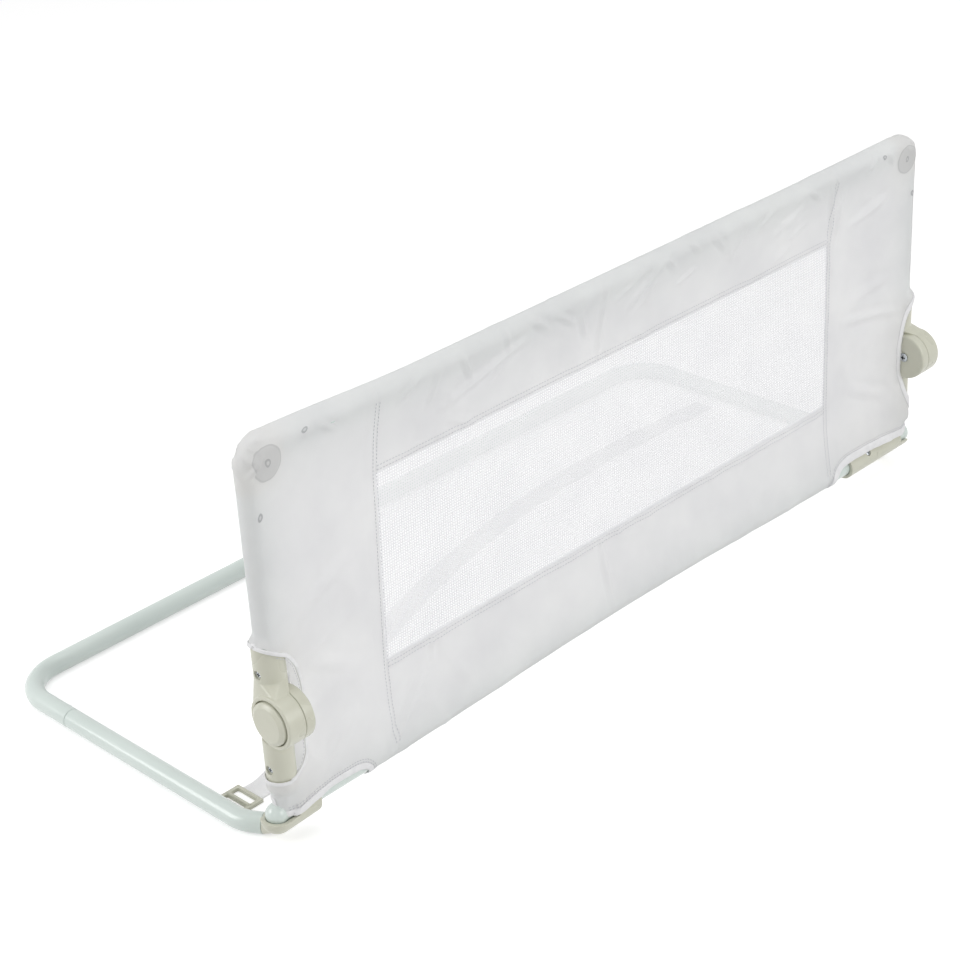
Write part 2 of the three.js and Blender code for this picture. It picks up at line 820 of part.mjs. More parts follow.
function upperEndCover() {
  const corner = at(halfSpan, 0, panelHeight);
  const route = [at(seamOffset, 0, panelHeight), corner, at(halfSpan, 0, socketUpperTop + gap)];
  const sleeve = swept(bentRoute(route, cornerRadius), sleeveOuter);
  const inside = [at(seamOffset - overrun, 0, panelHeight), corner];
  inside.push(at(halfSpan, 0, coverUpperHem - overrun));
  const hollow = swept(bentRoute(inside, cornerRadius), sleeveInner);
  const outline = rectangle(seamOffset, halfSpan, hingeHeight + gap, panelHeight);
  const panel = cut(sheet(outline, sheetThickness), cutoutBlock());
  const cuffTop = socketUpperTop + gap + sleeveThickness;
  const cuff = standingRod(socketUpperRadius + gap + sleeveThickness, coverUpperHem, cuffTop);
  const socketRoom = standingRod(socketUpperRadius + gap, hingeHeight, socketUpperTop + gap);
  const room = gussetDisc(gussetRadius + gap, tubeDiameter);
  return cut(join(sleeve, panel, cuff), hollow, room, socketRoom);
}

function topBand() {
  const end = seamOffset - gap;
  const sleeve = swept(straight(at(-end, 0, panelHeight), at(end, 0, panelHeight)), sleeveOuter);
  const outline = rectangle(-end, end, windowTop, panelHeight);
  const hollow = rod(
    sleeveInner,
    at(-seamOffset - overrun, 0, panelHeight),
    at(seamOffset + overrun, 0, panelHeight),
    tubeSides,
  );
  return cut(join(sleeve, sheet(outline, sheetThickness)), hollow);
}

function bottomBand() {
  const end = seamOffset - gap;
  const sleeve = swept(bowedRoute(-end, end, bowSteps), sleeveOuter);
  const hollow = bowedBar(sleeveInner);
  const outline = rectangle(-end, end, 0, windowBottom);
  return cut(join(sleeve, sheet(outline, sheetThickness)), hollow);
}

// Under the corner cut the cloth is only a flap over the front of the fitting.
function lowerEndCover({ cornerCut }) {
  const cutStart = halfSpan - cornerCut;
  const flapTop = flapRadius + sleeveThickness;
  const sleeve = swept(bowedRoute(seamOffset, cutStart, 2), sleeveOuter);
  const hollow = bowedBar(sleeveInner);
  const flap = slab(
    [
      ...arc(0, 0, flapTop, Math.PI / 3, flapFrontAngle, tubeSides),
      ...arc(0, 0, flapRadius, flapFrontAngle, Math.PI / 3, tubeSides),
    ],
    cutStart - overrun,
    halfSpan - tubeRadius - overrun,
  );
  const cuffBottom = socketLowerBottom - gap - sleeveThickness;
  const wrap = standingRod(sleeveOuter, coverStubBottom, socketLowerBottom - gap);
  const cuff = standingRod(cuffRadius, cuffBottom, coverStubTop);
  const stubRoom = standingRod(sleeveInner, 0, coverUpperHem);
  const outline = [
    [seamOffset, 0],
    [cutStart, 0],
    [cutStart, flapRadius],
    [halfSpan, coverStubBottom],
    [halfSpan, hingeHeight - gap],
    [seamOffset, hingeHeight - gap],
  ];
  const fittingRoom = rod(flapRadius, at(cutStart, 0, 0), at(outerFaceX, 0, 0));
  const socketRoom = standingRod(socketLowerRadius + gap, socketLowerBottom - gap, hingeHeight);
  const panel = cut(sheet(outline, sheetThickness), cutoutBlock(), fittingRoom);
  return cut(join(sleeve, panel, flap, wrap, cuff), hollow, stubRoom, socketRoom);
}

function net(fromZ, toZ, rows) {
  const end = seamOffset - gap;
  const stepX = (2 * end) / netColumns;
  const stepZ = (toZ - fromZ) / rows;
  const half = netStrand / 2;
  const holes = [];
  for (let column = 0; column < netColumns; column++) {
    for (let row = 0; row < rows; row++) {
      const x = -end + column * stepX;
      const z = fromZ + row * stepZ;
      const low = at(x + half, -sheetThickness, z + half);
      holes.push(block(low, at(x + stepX - half, sheetThickness, z + stepZ - half)));
    }
  }
  return cut(sheet(rectangle(-end, end, fromZ, toZ), sheetThickness), ...holes);
}

// The strap's middle line on the floor, from the buckle at the left arm across the base.
const strapRoute = [
  [-412.9, 77],
  [-396, 77.6],
  [-372, 85],
  [-330, 101],
  [-260, 134],
  [-180, 170],
  [-90, 203],
  [0, 228],
  [90, 246],
  [180, 256],
  [270, 259],
  [350, 257],
  [425, 252],
];

function anchorStrap() {
  const line = new THREE.CatmullRomCurve3(strapRoute.map(([x, y]) => at(x, y, 0)));
  const count = strapRoute.length * strapStepsPerPoint;
  const leftEdge = [];
  const rightEdge = [];
  for (let i = 0; i <= count; i++) {
    const point = line.getPoint(i / count);
    const heading = line.getTangent(i / count);
    const offset = at(-heading.y, heading.x, 0).multiplyScalar(strapWidth / 2);
    leftEdge.push(new THREE.Vector2(point.x + offset.x, point.y + offset.y));
    rightEdge.push(new THREE.Vector2(point.x - offset.x, point.y - offset.y));
  }
  const shape = new THREE.Shape([...rightEdge, ...leftEdge.reverse()]);
  const band = new THREE.ExtrudeGeometry(shape, { depth: strapThickness, bevelEnabled: false });
  return band.translate(0, 0, strapLift - floorDrop);
}

function strapBuckle() {
  const left = -armX + tubeRadius - gap;
  const bottom = strapLift - floorDrop;
  const low = at(left, buckleFront, bottom);
  const high = at(left + buckleLength, buckleFront + buckleWidth, bottom + buckleHeight);
  const slot = (from, to) =>
    block(
      at(left + from, buckleFront + buckleBar, bottom - overrun),
      at(left + to, buckleFront + buckleWidth - buckleBar, bottom + buckleHeight + overrun),
    );
  const middle = buckleLength / 2;
  return cut(
    block(low, high),
    slot(buckleBar, middle - buckleBar / 2),
    slot(middle + buckleBar / 2, buckleLength - buckleBar),
  );
}

function named(name, geometry, finish) {
  const mesh = new THREE.Mesh(surface(solid(geometry).simplify(weldLength)), finish);
  mesh.name = name;
  return mesh;
}

function endPieces(side, sizes) {
  const upperRivetZ = panelHeight - rivetInset;
  return [
    named(side + "_base_arm", baseArm(), paint),
    named(side + "_corner_fitting", cornerFitting(sizes), cream),
    named(side + "_stop_screw", stopScrew(sizes.stopScrewInset), zinc),
    named(side + "_snap_pin", snapPin(), zinc),
    named(side + "_stub_tube", stub(), paint),
    named(side + "_lower_hinge_housing", lowerHousing(), cream),
    named(side + "_lower_connector_screw", connectorScrew(socketLowerRadius, connectorScrewLower), zinc),
    named(side + "_hinge_axle", hingeAxle(), zinc),
    named(side + "_axle_nut", axleNut(), zinc),
    named(side + "_lock_gear", lockGear(), zinc),
    named(side + "_lower_end_cover", lowerEndCover(sizes), fabric),
    named(side + "_upright_tube", upright(), paint),
    named(side + "_upper_hinge_housing", upperHousing(), cream),
    named(side + "_upper_connector_screw", connectorScrew(socketUpperRadius, connectorScrewUpper), zinc),
    named(side + "_button_spring", returnSpring(), zinc),
    named(side + "_release_button", pushButton(), cream),
    named(side + "_top_elbow", cornerElbow(), cream),
    named(side + "_top_tube_rivet", flushRivet(rivetX(), panelHeight), zinc),
    named(side + "_upright_rivet", flushRivet(halfSpan, upperRivetZ), zinc),
    named(side + "_gusset_rivet", gussetRivet(), zinc),
    named(side + "_upper_end_cover", upperEndCover(), fabric),
  ];
}

const rail = new THREE.Group();
const rightEnd = new THREE.Group();
const leftEnd = new THREE.Group();
leftEnd.scale.x = -1;
rightEnd.add(...endPieces("right", rightEndSizes));
leftEnd.add(...endPieces("left", leftEndSizes));
rail.add(rightEnd, leftEnd);
rail.add(
  named("rear_tube", rearTube(), paint),
  named("bottom_tube", bottomTube(), paint),
  named("top_tube", topTube(), paint),
  named("cover_top_band", topBand(), fabric),
  named("cover_bottom_band", bottomBand(), fabric),
  named("upper_mesh", net(hingeHeight + gap, windowTop - gap, netRows), netting),
  named("lower_mesh", net(windowBottom + gap, hingeHeight - gap, 1), netting),
  named("anchor_strap", anchorStrap(), fabric),
  named("strap_buckle", strapBuckle(), cream),
);
rail.position.set(0, -outlineMiddle, floorDrop);

export default rail;
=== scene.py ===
"""Folding bed guard rail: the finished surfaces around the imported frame.

Shapes are drawn in millimetres from the bottom tube's axis (X along the rail, +Y towards the rear tube,
+Z up) and are set into the frame, in metres, as each mesh is made. Pieces of the right end are mirrored for
the left one.
"""

import json
import math

import bmesh
import bpy
import numpy as np
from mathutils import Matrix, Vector


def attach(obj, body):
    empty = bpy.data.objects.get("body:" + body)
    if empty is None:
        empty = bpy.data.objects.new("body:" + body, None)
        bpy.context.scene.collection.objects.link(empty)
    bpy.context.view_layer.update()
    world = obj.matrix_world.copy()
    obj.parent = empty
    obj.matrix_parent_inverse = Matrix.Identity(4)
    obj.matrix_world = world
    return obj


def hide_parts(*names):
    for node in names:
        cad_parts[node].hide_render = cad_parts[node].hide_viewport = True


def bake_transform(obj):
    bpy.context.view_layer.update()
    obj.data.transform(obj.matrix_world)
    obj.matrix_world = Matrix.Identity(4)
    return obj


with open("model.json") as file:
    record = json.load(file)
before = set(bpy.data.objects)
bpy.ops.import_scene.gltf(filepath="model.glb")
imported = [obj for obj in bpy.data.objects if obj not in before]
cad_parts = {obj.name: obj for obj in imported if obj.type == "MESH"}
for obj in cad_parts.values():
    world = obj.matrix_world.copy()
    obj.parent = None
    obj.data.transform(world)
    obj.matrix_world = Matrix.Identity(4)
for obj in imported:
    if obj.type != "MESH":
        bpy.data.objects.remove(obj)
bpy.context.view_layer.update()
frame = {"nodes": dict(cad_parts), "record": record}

MM = 0.001
RAIL_ORIGIN = Vector((0, -0.17075, 0.0355))
X_AXIS, Y_AXIS, Z_AXIS = Vector((1, 0, 0)), Vector((0, 1, 0)), Vector((0, 0, 1))

# Sizes in millimetres: the part's own, and those of the fittings, hems and seams as the photograph shows
# them. Where the ends differ, 1 is the right one and -1 the left one.
HALF_SPAN = 437.5
PANEL_HEIGHT = 330.0
BASE_DEPTH = 372.0
BASE_DROP = 26.0
ARM_X = 450.8
TUBE_RADIUS = 9.5
TUBE_BORE = 8.3
CLEARANCE = 0.3
BOW_HEIGHT = 7.0
BOW_REACH = 352.0
REAR_BEND = 45.0
REAR_LEG_END = 284.0
TOE_ANGLE = math.pi / 6
TOE_RADIUS = 40.0
TOE_STRAIGHT = 9.0
ARM_FRONT = 27.0
FITTING_RADIUS = 13.3
FITTING_END = {1: 9.0, -1: 24.0}
FITTING_DROP = {1: 0.0, -1: 3.2}
MOUTH_RADIUS = 10.7
DOME_X = 447.0
WRAP_ROOM = 10.9
CUFF_ROOM = 14.3
STOP_SCREW_ANGLE = math.pi * 0.8
FITTING_REACH = {1: 93.5, -1: 29.0}
STOP_SCREW_INSET = {1: 61.5, -1: 17.5}
STOP_SCREW_HEAD = 3.1
SLEEVE_BORE = 9.8
WELD_X = 408.0
HINGE_Y, HINGE_Z = -16.0, 101.0
DRUM_RADIUS = 24.0
DRUM_INNER = HALF_SPAN - 10.3
DRUM_OUTER = HALF_SPAN + 18.0
DRUM_WALL = 2.5
DRUM_INSIDE = 21.5
POCKET = 20.3
AXLE_HOLE = 3.3
NECK_INSET = 0.05
BUTTON_FACE = DRUM_OUTER + 4.3
SOCKETS = {"upper": (13.7, 128.0, 162.0), "lower": (12.9, 25.0, 72.0)}  # radius, bottom, top
SCREW_Z = {"upper": 138.0, "lower": 45.0}
CORNER_RADIUS = 16.0
SEAM_X = 308.0
WINDOW_BOTTOM, WINDOW_TOP = 84.5, 262.5
CLOTH_RADIUS = 10.6
PLATE = (425.5, 317.5)
RIVETS = [(386.5, 331.0), (438.6, 279.0), PLATE]
SIDES = {1: "right", -1: "left"}
# The two bodies the cloth lies across. Pieces given both are left where they are made, on neither of them
ACROSS_FOLD = ("lower_frame", "upper_panel")


# Meshes ---------------------------------------------------------------------------------------------

def mid_depth(x, z=0.0):
    """A point in the plane through the uprights and the bottom tube."""
    return Vector((x, 0, z))


def ring_axes(axis):
    """Two directions square to an axis, and the axis."""
    along = axis.normalized()
    reference = Z_AXIS if abs(along.z) < 0.9 else X_AXIS
    first = reference.cross(along).normalized()
    return first, along.cross(first), along


def circle(centre, first, second, radius, sides):
    angles = [2 * math.pi * i / sides for i in range(sides)]
    return [centre + (first * math.cos(a) + second * math.sin(a)) * radius for a in angles]


def turned(profile, origin, axis, sides=72, closed=False):
    """A profile of (radius, distance) points turned about an axis. A closed profile makes a ring."""
    first, second, along = ring_axes(axis)
    verts, faces, rings = [], [], []
    for radius, distance in profile:
        centre = origin + along * distance
        if radius < 1e-6:
            rings.append([len(verts)])
            verts.append(centre)
            continue
        rings.append(list(range(len(verts), len(verts) + sides)))
        verts += circle(centre, first, second, radius, sides)
    for low, high in zip(rings, rings[1:] + rings[:1] if closed else rings[1:]):
        for i in range(sides):
            j = (i + 1) % sides
            corners = [low[i % len(low)], low[j % len(low)], high[j % len(high)], high[i % len(high)]]
            faces.append(list(dict.fromkeys(corners)))
    return verts, [face for face in faces if len(face) > 2]


def lofted(rings, closed=False):
    """A solid through rings of as many points each. A closed one runs back into its first ring."""
    around = len(rings[0])
    verts = [point for ring in rings for point in ring]
    faces = []
    for step in range(len(rings) if closed else len(rings) - 1):
        low, high = step * around, (step + 1) % len(rings) * around
        faces += [[low + i, low + (i + 1) % around, high + (i + 1) % around, high + i] for i in range(around)]
    if not closed:
        faces += [list(range(around))[::-1], [len(verts) - around + i for i in range(around)]]
    return verts, faces


def rod(radius, start, end, sides=72):
    length = (end - start).length
    return turned([(0, 0), (radius, 0), (radius, length), (0, length)], start, end - start, sides)


def ball(radius, centre):
    sides, steps = 48, 24
    profile = [(radius * math.sin(math.pi * i / steps), -radius * math.cos(math.pi * i / steps))
               for i in range(steps + 1)]
    return turned(profile, centre, X_AXIS, sides)


def slab(profile, from_x, to_x):
    """A profile of (y, z) points drawn out along X."""
    count = len(profile)
    verts = [Vector((x, y, z)) for x in (from_x, to_x) for y, z in profile]
    faces = [list(range(count))[::-1], list(range(count, 2 * count))]
    faces += [[i, (i + 1) % count, (i + 1) % count + count, i + count] for i in range(count)]
    return verts, faces


def block(low, high):
    return slab([(low[1], low[2]), (high[1], low[2]), (high[1], high[2]), (low[1], high[2])], low[0], high[0])


def hull(points):
    made = bmesh.new()
    for point in points:
        made.verts.new(point)
    found = bmesh.ops.convex_hull(made, input=made.verts)
    bmesh.ops.delete(made, geom=[v for v in found["geom_interior"] if isinstance(v, bmesh.types.BMVert)],
                     context="VERTS")
    made.verts.index_update()
    solid = [v.co.copy() for v in made.verts], [[v.index for v in face.verts] for face in made.faces]
    made.free()
    return solid


def eased(profile, radius):
    """A profile with its corners rounded."""
    steps = 4
    points = [Vector(p) for p in profile]
    made = [points[0]]
    for before, corner, after in zip(points, points[1:], points[2:]):
        reach = min(radius, 0.45 * (before - corner).length, 0.45 * (after - corner).length)
        start = corner + (before - corner).normalized() * reach
        end = corner + (after - corner).normalized() * reach
        for i in range(steps + 1):
            share = i / steps
            made.append(start * (1 - share) ** 2 + corner * 2 * share * (1 - share) + end * share ** 2)
    made.append(points[-1])
    return [tuple(point) for point in made]


def rounded(corners, radius, steps=14):
    """Straight runs through the corners, with each corner rounded to the bend radius."""
    path = [corners[0]]
    for before, corner, after in zip(corners, corners[1:], corners[2:]):
        inward, onward = (corner - before).normalized(), (after - corner).normalized()
        turn = inward.angle(onward)
        start = corner - inward * radius * math.tan(turn / 2)
        side = (onward - inward * onward.dot(inward)).normalized()
        for i in range(steps + 1):
            angle = turn * i / steps
            path.append(start + inward * radius * math.sin(angle) + side * radius * (1 - math.cos(angle)))
    path.append(corners[-1])
    return path


def swept(path, radius, lip=0.0):
    """A round tube along a path. A lip rounds its ends over that length."""
    headings = [(b - a).normalized() for a, b in zip(path, path[1:])]
    headings = [headings[0]] + [(a + b).normalized() for a, b in zip(headings, headings[1:])] + [headings[-1]]
    stations = [(point, heading, radius) for point, heading in zip(path, headings)]
    if lip:
        first, last = stations[0], stations[-1]
        stations[0] = (first[0] + first[1] * lip, first[1], radius)
        stations[-1] = (last[0] - last[1] * lip, last[1], radius)
        stations.insert(0, (first[0], first[1], radius - lip))
        stations.append((last[0], last[1], radius - lip))
    side = ring_axes(headings[0])[0]
    rings = []
    for point, heading, ring_radius in stations:
        side = (side - heading * side.dot(heading)).normalized()
        rings.append(circle(point, side, heading.cross(side), ring_radius, 40))
    return lofted(rings)


def merged(solids):
    verts, faces = [], []
    for more_verts, more_faces in solids:
        faces += [[i + len(verts) for i in face] for face in more_faces]
        verts += list(more_verts)
    return verts, faces


def loose_object(name, solid):
    mesh = bpy.data.meshes.new(name)
    mesh.from_pydata([tuple(v) for v in solid[0]], [], solid[1])
    shape = bmesh.new()
    shape.from_mesh(mesh)
    bmesh.ops.recalc_face_normals(shape, faces=shape.faces)
    shape.to_mesh(mesh)
    shape.free()
    made = bpy.data.objects.new(name, mesh)
    bpy.context.scene.collection.objects.link(made)
    return made


LEAST_VOLUME = 100.0


def carved(solids, cuts=(), voxel=0.0, relax=0):
    """The solids joined and the cuts taken away. A voxel size rounds every edge a little."""
    base = loose_object("carving", solids[0])
    helpers = []
    for operation, group in (("UNION", solids[1:]), ("DIFFERENCE", cuts)):
        for solid in group:
            helper = loose_object("carving_helper", solid)
            helpers.append(helper)
            step = base.modifiers.new("Carve", "BOOLEAN")
            step.operation, step.solver, step.object = operation, "EXACT", helper
    if voxel:
        step = base.modifiers.new("Round", "REMESH")
        step.mode, step.voxel_size = "VOXEL", voxel
        step = base.modifiers.new("Relax", "SMOOTH")
        step.factor, step.iterations = 0.5, relax
    graph = bpy.context.evaluated_depsgraph_get()
    mesh = bpy.data.meshes.new_from_object(base.evaluated_get(graph))
    solid = [v.co.copy() for v in mesh.vertices], [list(p.vertices) for p in mesh.polygons]
    shape = bmesh.new()
    shape.from_mesh(mesh)
    whole = abs(shape.calc_volume()) > LEAST_VOLUME or not voxel
    shape.free()
    if not whole:
        raise ValueError("a carved piece has lost its shape")
    for helper in [base, *helpers]:
        bpy.data.objects.remove(helper)
    return solid


def finished(name, solid, finish, body, stands_for=(), side=1, sharp=38, uv=None):
    """A piece from a solid in rail millimetres, with its finish, on its body; given two bodies, it is left
    where it is made.
    """
    verts = np.array([tuple(v) for v in solid[0]], float)
    verts[:, 0] *= side
    faces = [face[::-1] for face in solid[1]] if side < 0 else solid[1]
    made = loose_object(name, (verts * MM + np.array(RAIL_ORIGIN), faces))
    mesh = made.data
    if uv is not None:
        layer = mesh.uv_layers.new(name="cloth_mm")
        corners = np.zeros(len(mesh.loops), np.int32)
        mesh.loops.foreach_get("vertex_index", corners)
        layer.data.foreach_set("uv", (np.array(uv)[corners] * MM).astype(np.float32).ravel())
    mesh.polygons.foreach_set("use_smooth", [True] * len(mesh.polygons))
    mesh.set_sharp_from_angle(angle=math.radians(sharp))
    mesh.materials.append(finish)
    if isinstance(body, str):
        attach(made, body)
    else:
        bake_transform(made)
    if stands_for:
        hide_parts(*stands_for)
    return made


# Materials ------------------------------------------------------------------------------------------

def linear(colour):
    """An sRGB hex colour as linear RGBA."""
    channels = [int(colour[i:i + 2], 16) / 255 for i in (0, 2, 4)]
    return tuple(c / 12.92 if c <= 0.04045 else ((c + 0.055) / 1.055) ** 2.4 for c in channels) + (1.0,)


def add(tree, kind, inputs=(), **settings):
    """Adds a node with its settings, and fills or links its inputs by name."""
    made = tree.nodes.new(kind)
    for name, value in settings.items():
        setattr(made, name, value)
    for name, value in dict(inputs).items():
        if isinstance(value, bpy.types.NodeSocket):
            tree.links.new(value, made.inputs[name])
        else:
            made.inputs[name].default_value = value
    return made


def new_finish(name, surface, mapping="Object"):
    """A material with uniform values on its shader's own sockets, and what its patterns are made with:
    the node tree, the shader and the mapping."""
    made = bpy.data.materials.new(name)
    made.use_nodes = True
    tree = made.node_tree
    shader = tree.nodes["Principled BSDF"]
    for key, value in surface.items():
        shader.inputs[key].default_value = value
    return made, (tree, shader, add(tree, "ShaderNodeTexCoord").outputs[mapping])


def bands(pitch_mm):
    """The wave texture's scale for bands of this pitch."""
    return math.pi / (10 * pitch_mm * MM)


def per_mm(size_mm):
    """The noise texture's scale for grains of this size."""
    return 1 / (size_mm * MM)


def clouded(tree, shader, place, size_mm, shades, detail=2.0, roughness=None):
    """A colour that drifts softly between two near shades. Where a range is given, so does the roughness."""
    clouds = add(tree, "ShaderNodeTexNoise", {"Vector": place, "Scale": per_mm(size_mm), "Detail": detail})
    ramp = add(tree, "ShaderNodeValToRGB", {"Fac": clouds.outputs["Fac"]})
    for stop, position, shade in zip(ramp.color_ramp.elements, (0.3, 0.7), shades):
        stop.position, stop.color = position, linear(shade)
    tree.links.new(ramp.outputs["Color"], shader.inputs["Base Color"])
    if roughness:
        drift = add(tree, "ShaderNodeMapRange", {"Value": clouds.outputs["Fac"], "To Min": roughness[0],
                                                 "To Max": roughness[1]})
        tree.links.new(drift.outputs["Result"], shader.inputs["Roughness"])
    return ramp.outputs["Color"]


def raised(tree, shader, height, strength, depth_mm):
    """Relief in the surface, over any that is there already."""
    bump = add(tree, "ShaderNodeBump", {"Strength": strength, "Distance": depth_mm * MM, "Height": height})
    normal = shader.inputs["Normal"]
    if normal.is_linked:
        tree.links.new(normal.links[0].from_socket, bump.inputs["Normal"])
    tree.links.new(bump.outputs["Normal"], normal)


def grained(tree, shader, place, size_mm, strength, depth_mm, detail=2.0, coarseness=0.5):
    """Irregular relief with grains of this size."""
    grain = add(tree, "ShaderNodeTexNoise", {"Vector": place, "Scale": per_mm(size_mm), "Detail": detail,
                                             "Roughness": coarseness})
    raised(tree, shader, grain.outputs["Fac"], strength, depth_mm)


def crossed_threads(tree, place, pitches_mm, unevenness, operation):
    """Threads across (the first pitch) and along (the second), as height."""
    sets = [add(tree, "ShaderNodeTexWave", {"Vector": place, "Scale": bands(pitch), "Distortion": uneven},
                bands_direction=direction).outputs["Fac"]
            for pitch, uneven, direction in zip(pitches_mm, unevenness, "XY")]
    return add(tree, "ShaderNodeMath", dict(enumerate(sets)), operation=operation).outputs["Value"]


def made_thin(tree, shader, colour, share):
    """Lets a share of the light through, as thin cloth does."""
    through = add(tree, "ShaderNodeBsdfTranslucent", {"Color": colour})
    thin = add(tree, "ShaderNodeMixShader", {0: share, 1: shader.outputs["BSDF"], 2: through.outputs["BSDF"]})
    tree.links.new(thin.outputs["Shader"], tree.nodes["Material Output"].inputs["Surface"])


def show_through_and_rim_shade(tree, place):
    """How dark the rivets and the corner plate show through the cloth, as rings round each of them: the metal
    under the thin cloth, with painted shade in the darker rings at their raised rims. A ring is a distance in
    millimetres and the darkness there."""
    reach = 20.0
    # The darker rings, at 1.9 to 2.9 mm round a rivet and at 13.9 mm round the plate, are painted shade at
    # the raised rims
    rivet_rings = ((0, 0.2), (1.2, 0.22), (1.9, 0.52), (2.9, 0.5), (3.6, 0.0))
    plate_rings = ((0, 0.19), (13.2, 0.2), (13.9, 0.31), (14.6, 0.28), (15.2, 0.0))
    parts = add(tree, "ShaderNodeSeparateXYZ", {"Vector": place})
    mirrored = add(tree, "ShaderNodeMath", {0: parts.outputs["X"]}, operation="ABSOLUTE")
    here = add(tree, "ShaderNodeCombineXYZ", {"X": mirrored.outputs["Value"], "Y": parts.outputs["Y"]})
    total = None
    for (x, z), rings in [(rivet, rivet_rings) for rivet in RIVETS] + [(PLATE, plate_rings)]:
        away = add(tree, "ShaderNodeVectorMath", {0: here.outputs["Vector"], 1: (x * MM, z * MM, 0)},
                   operation="DISTANCE")
        share = add(tree, "ShaderNodeMath", {0: away.outputs["Value"], 1: 1 / (reach * MM)},
                    operation="MULTIPLY")
        ramp = add(tree, "ShaderNodeValToRGB", {"Fac": share.outputs["Value"]})
        stops = ramp.color_ramp.elements
        while len(stops) < len(rings):
            stops.new(0.5)
        for stop, (radius, dark) in zip(stops, rings):
            stop.position, stop.color = radius / reach, (dark, dark, dark, 1)
        shown = ramp.outputs["Color"]
        total = shown if total is None else add(tree, "ShaderNodeMath", {0: total, 1: shown},
                                                operation="MAXIMUM").outputs["Value"]
    return total


# White polyester taffeta, plain-woven and calendered: a close grid of threads, cloudy where it is
#  handled, with the metal under it showing through as grey and painted shade in darker rings at the raised
#  rims of the rivets and the corner plate. Its 0.3 mm threads are drawn at 1.1 mm, because finer ones don't
#  show in the render.
def woven_polyester():
    made, look = new_finish("woven_polyester_taffeta", {
        "Roughness": 0.72, "Sheen Weight": 0.18, "Sheen Roughness": 0.45, "Specular IOR Level": 0.3}, "UV")
    tree, shader, place = look
    cloth = clouded(*look, size_mm=70, shades=("EEEEEF", "F6F6F6"), detail=3.0)
    # The grey of the metal under the cloth, darkest in the rings of painted shade at the rims
    seen = add(tree, "ShaderNodeMixRGB", {"Fac": show_through_and_rim_shade(tree, place), "Color1": cloth,
                                          "Color2": linear("8F9094")}).outputs["Color"]
    tree.links.new(seen, shader.inputs["Base Color"])
    weave = crossed_threads(tree, place, pitches_mm=(1.1, 1.1), unevenness=(0.4, 0.4), operation="MAXIMUM")
    raised(tree, shader, weave, strength=0.22, depth_mm=0.15)
    grained(*look, size_mm=22, strength=0.5, depth_mm=1.8, detail=4.0, coarseness=0.55)
    made_thin(tree, shader, seen, share=0.28)
    return made


# Polyester bias tape, folded over the cut edges: whiter and closer than the cover, with fine ribs.
def bias_tape():
    made, look = new_finish("folded_polyester_tape", {
        "Roughness": 0.65, "Sheen Weight": 0.2, "Sheen Roughness": 0.4, "Specular IOR Level": 0.3})
    tree, shader, place = look
    clouded(*look, size_mm=6, shades=("E9E9EA", "F1F1F2"), detail=3.0)
    ribs = add(tree, "ShaderNodeTexWave", {"Vector": place, "Scale": bands(0.9), "Distortion": 1.0},
               bands_direction="Z")
    raised(tree, shader, ribs.outputs["Fac"], strength=0.2, depth_mm=0.1)
    return made


# Spun polyester thread, matt with a fine twist: white, drawn light grey as painted shade along the stitches.
def spun_thread():
    made, look = new_finish("spun_polyester_thread", {"Roughness": 0.8, "Sheen Weight": 0.3})
    clouded(*look, size_mm=1.5, shades=("C9C9CE", "DADADF"))
    return made


# Knitted polyester mesh, heat-set so that it stays open and flat, with a fibrous surface.
def knitted_mesh():
    made, look = new_finish("knitted_polyester_mesh", {
        "Roughness": 0.6, "Sheen Weight": 0.2, "Specular IOR Level": 0.4})
    clouded(*look, size_mm=45, shades=("E6E6E8", "EFEFF0"))
    grained(*look, size_mm=0.8, strength=0.3, depth_mm=0.1)
    made_thin(look[0], look[1], linear("EDEDEF"), share=0.35)
    return made


# Polypropylene webbing, woven in fine cross ribs, a little soiled.
def woven_webbing():
    made, look = new_finish("woven_polypropylene_webbing", {
        "Roughness": 0.62, "Sheen Weight": 0.1, "Specular IOR Level": 0.4}, "UV")
    tree, shader, place = look
    clouded(*look, size_mm=30, shades=("F0F0F1", "F8F8F8"), detail=3.0)
    ribs = crossed_threads(tree, place, pitches_mm=(1.6, 2.1), unevenness=(0.3, 0.2), operation="MULTIPLY")
    raised(tree, shader, ribs, strength=0.6, depth_mm=0.35)
    return made


# Epoxy powder coat on steel tube, baked: glossy, pale green-grey, with a faint orange peel.
def powder_coat():
    made, look = new_finish("powder_coated_steel", {"Coat Weight": 0.5, "Coat Roughness": 0.08})
    clouded(*look, size_mm=90, shades=("D3DED9", "DBE5E0"), roughness=(0.24, 0.34))
    grained(*look, size_mm=2.2, strength=0.12, depth_mm=0.06)
    return made


# ABS, injection-moulded in a polished tool: glossy ivory with slow sink marks and faint handling dulls.
def moulded_abs():
    made, look = new_finish("moulded_abs", {"IOR": 1.54})
    clouded(*look, size_mm=40, shades=("C9C9B8", "D1D1C1"), detail=3.0, roughness=(0.22, 0.34))
    grained(*look, size_mm=9, strength=0.15, depth_mm=0.12)
    return made


# Steel with bright zinc plate: bluish grey, slightly uneven, with fine turning marks.
def zinc_plate():
    made, look = new_finish("bright_zinc_plate", {"Metallic": 1.0})
    clouded(*look, size_mm=3, shades=("A3A9AE", "C6CACD"), detail=4.0, roughness=(0.22, 0.42))
    grained(*look, size_mm=0.5, strength=0.15, depth_mm=0.03)
    return made


TAFFETA, TAPE, THREAD, NET = woven_polyester(), bias_tape(), spun_thread(), knitted_mesh()
WEBBING, ENAMEL, IVORY, ZINC = woven_webbing(), powder_coat(), moulded_abs(), zinc_plate()

# The hard finishes: material, what the piece's name ends in, and slot
COATED = (ENAMEL, "coated", "painted_steel")
MOULDED = (IVORY, "moulded", "ivory_plastic")
PLATED = (ZINC, "plated", "zinc_plated_steel")


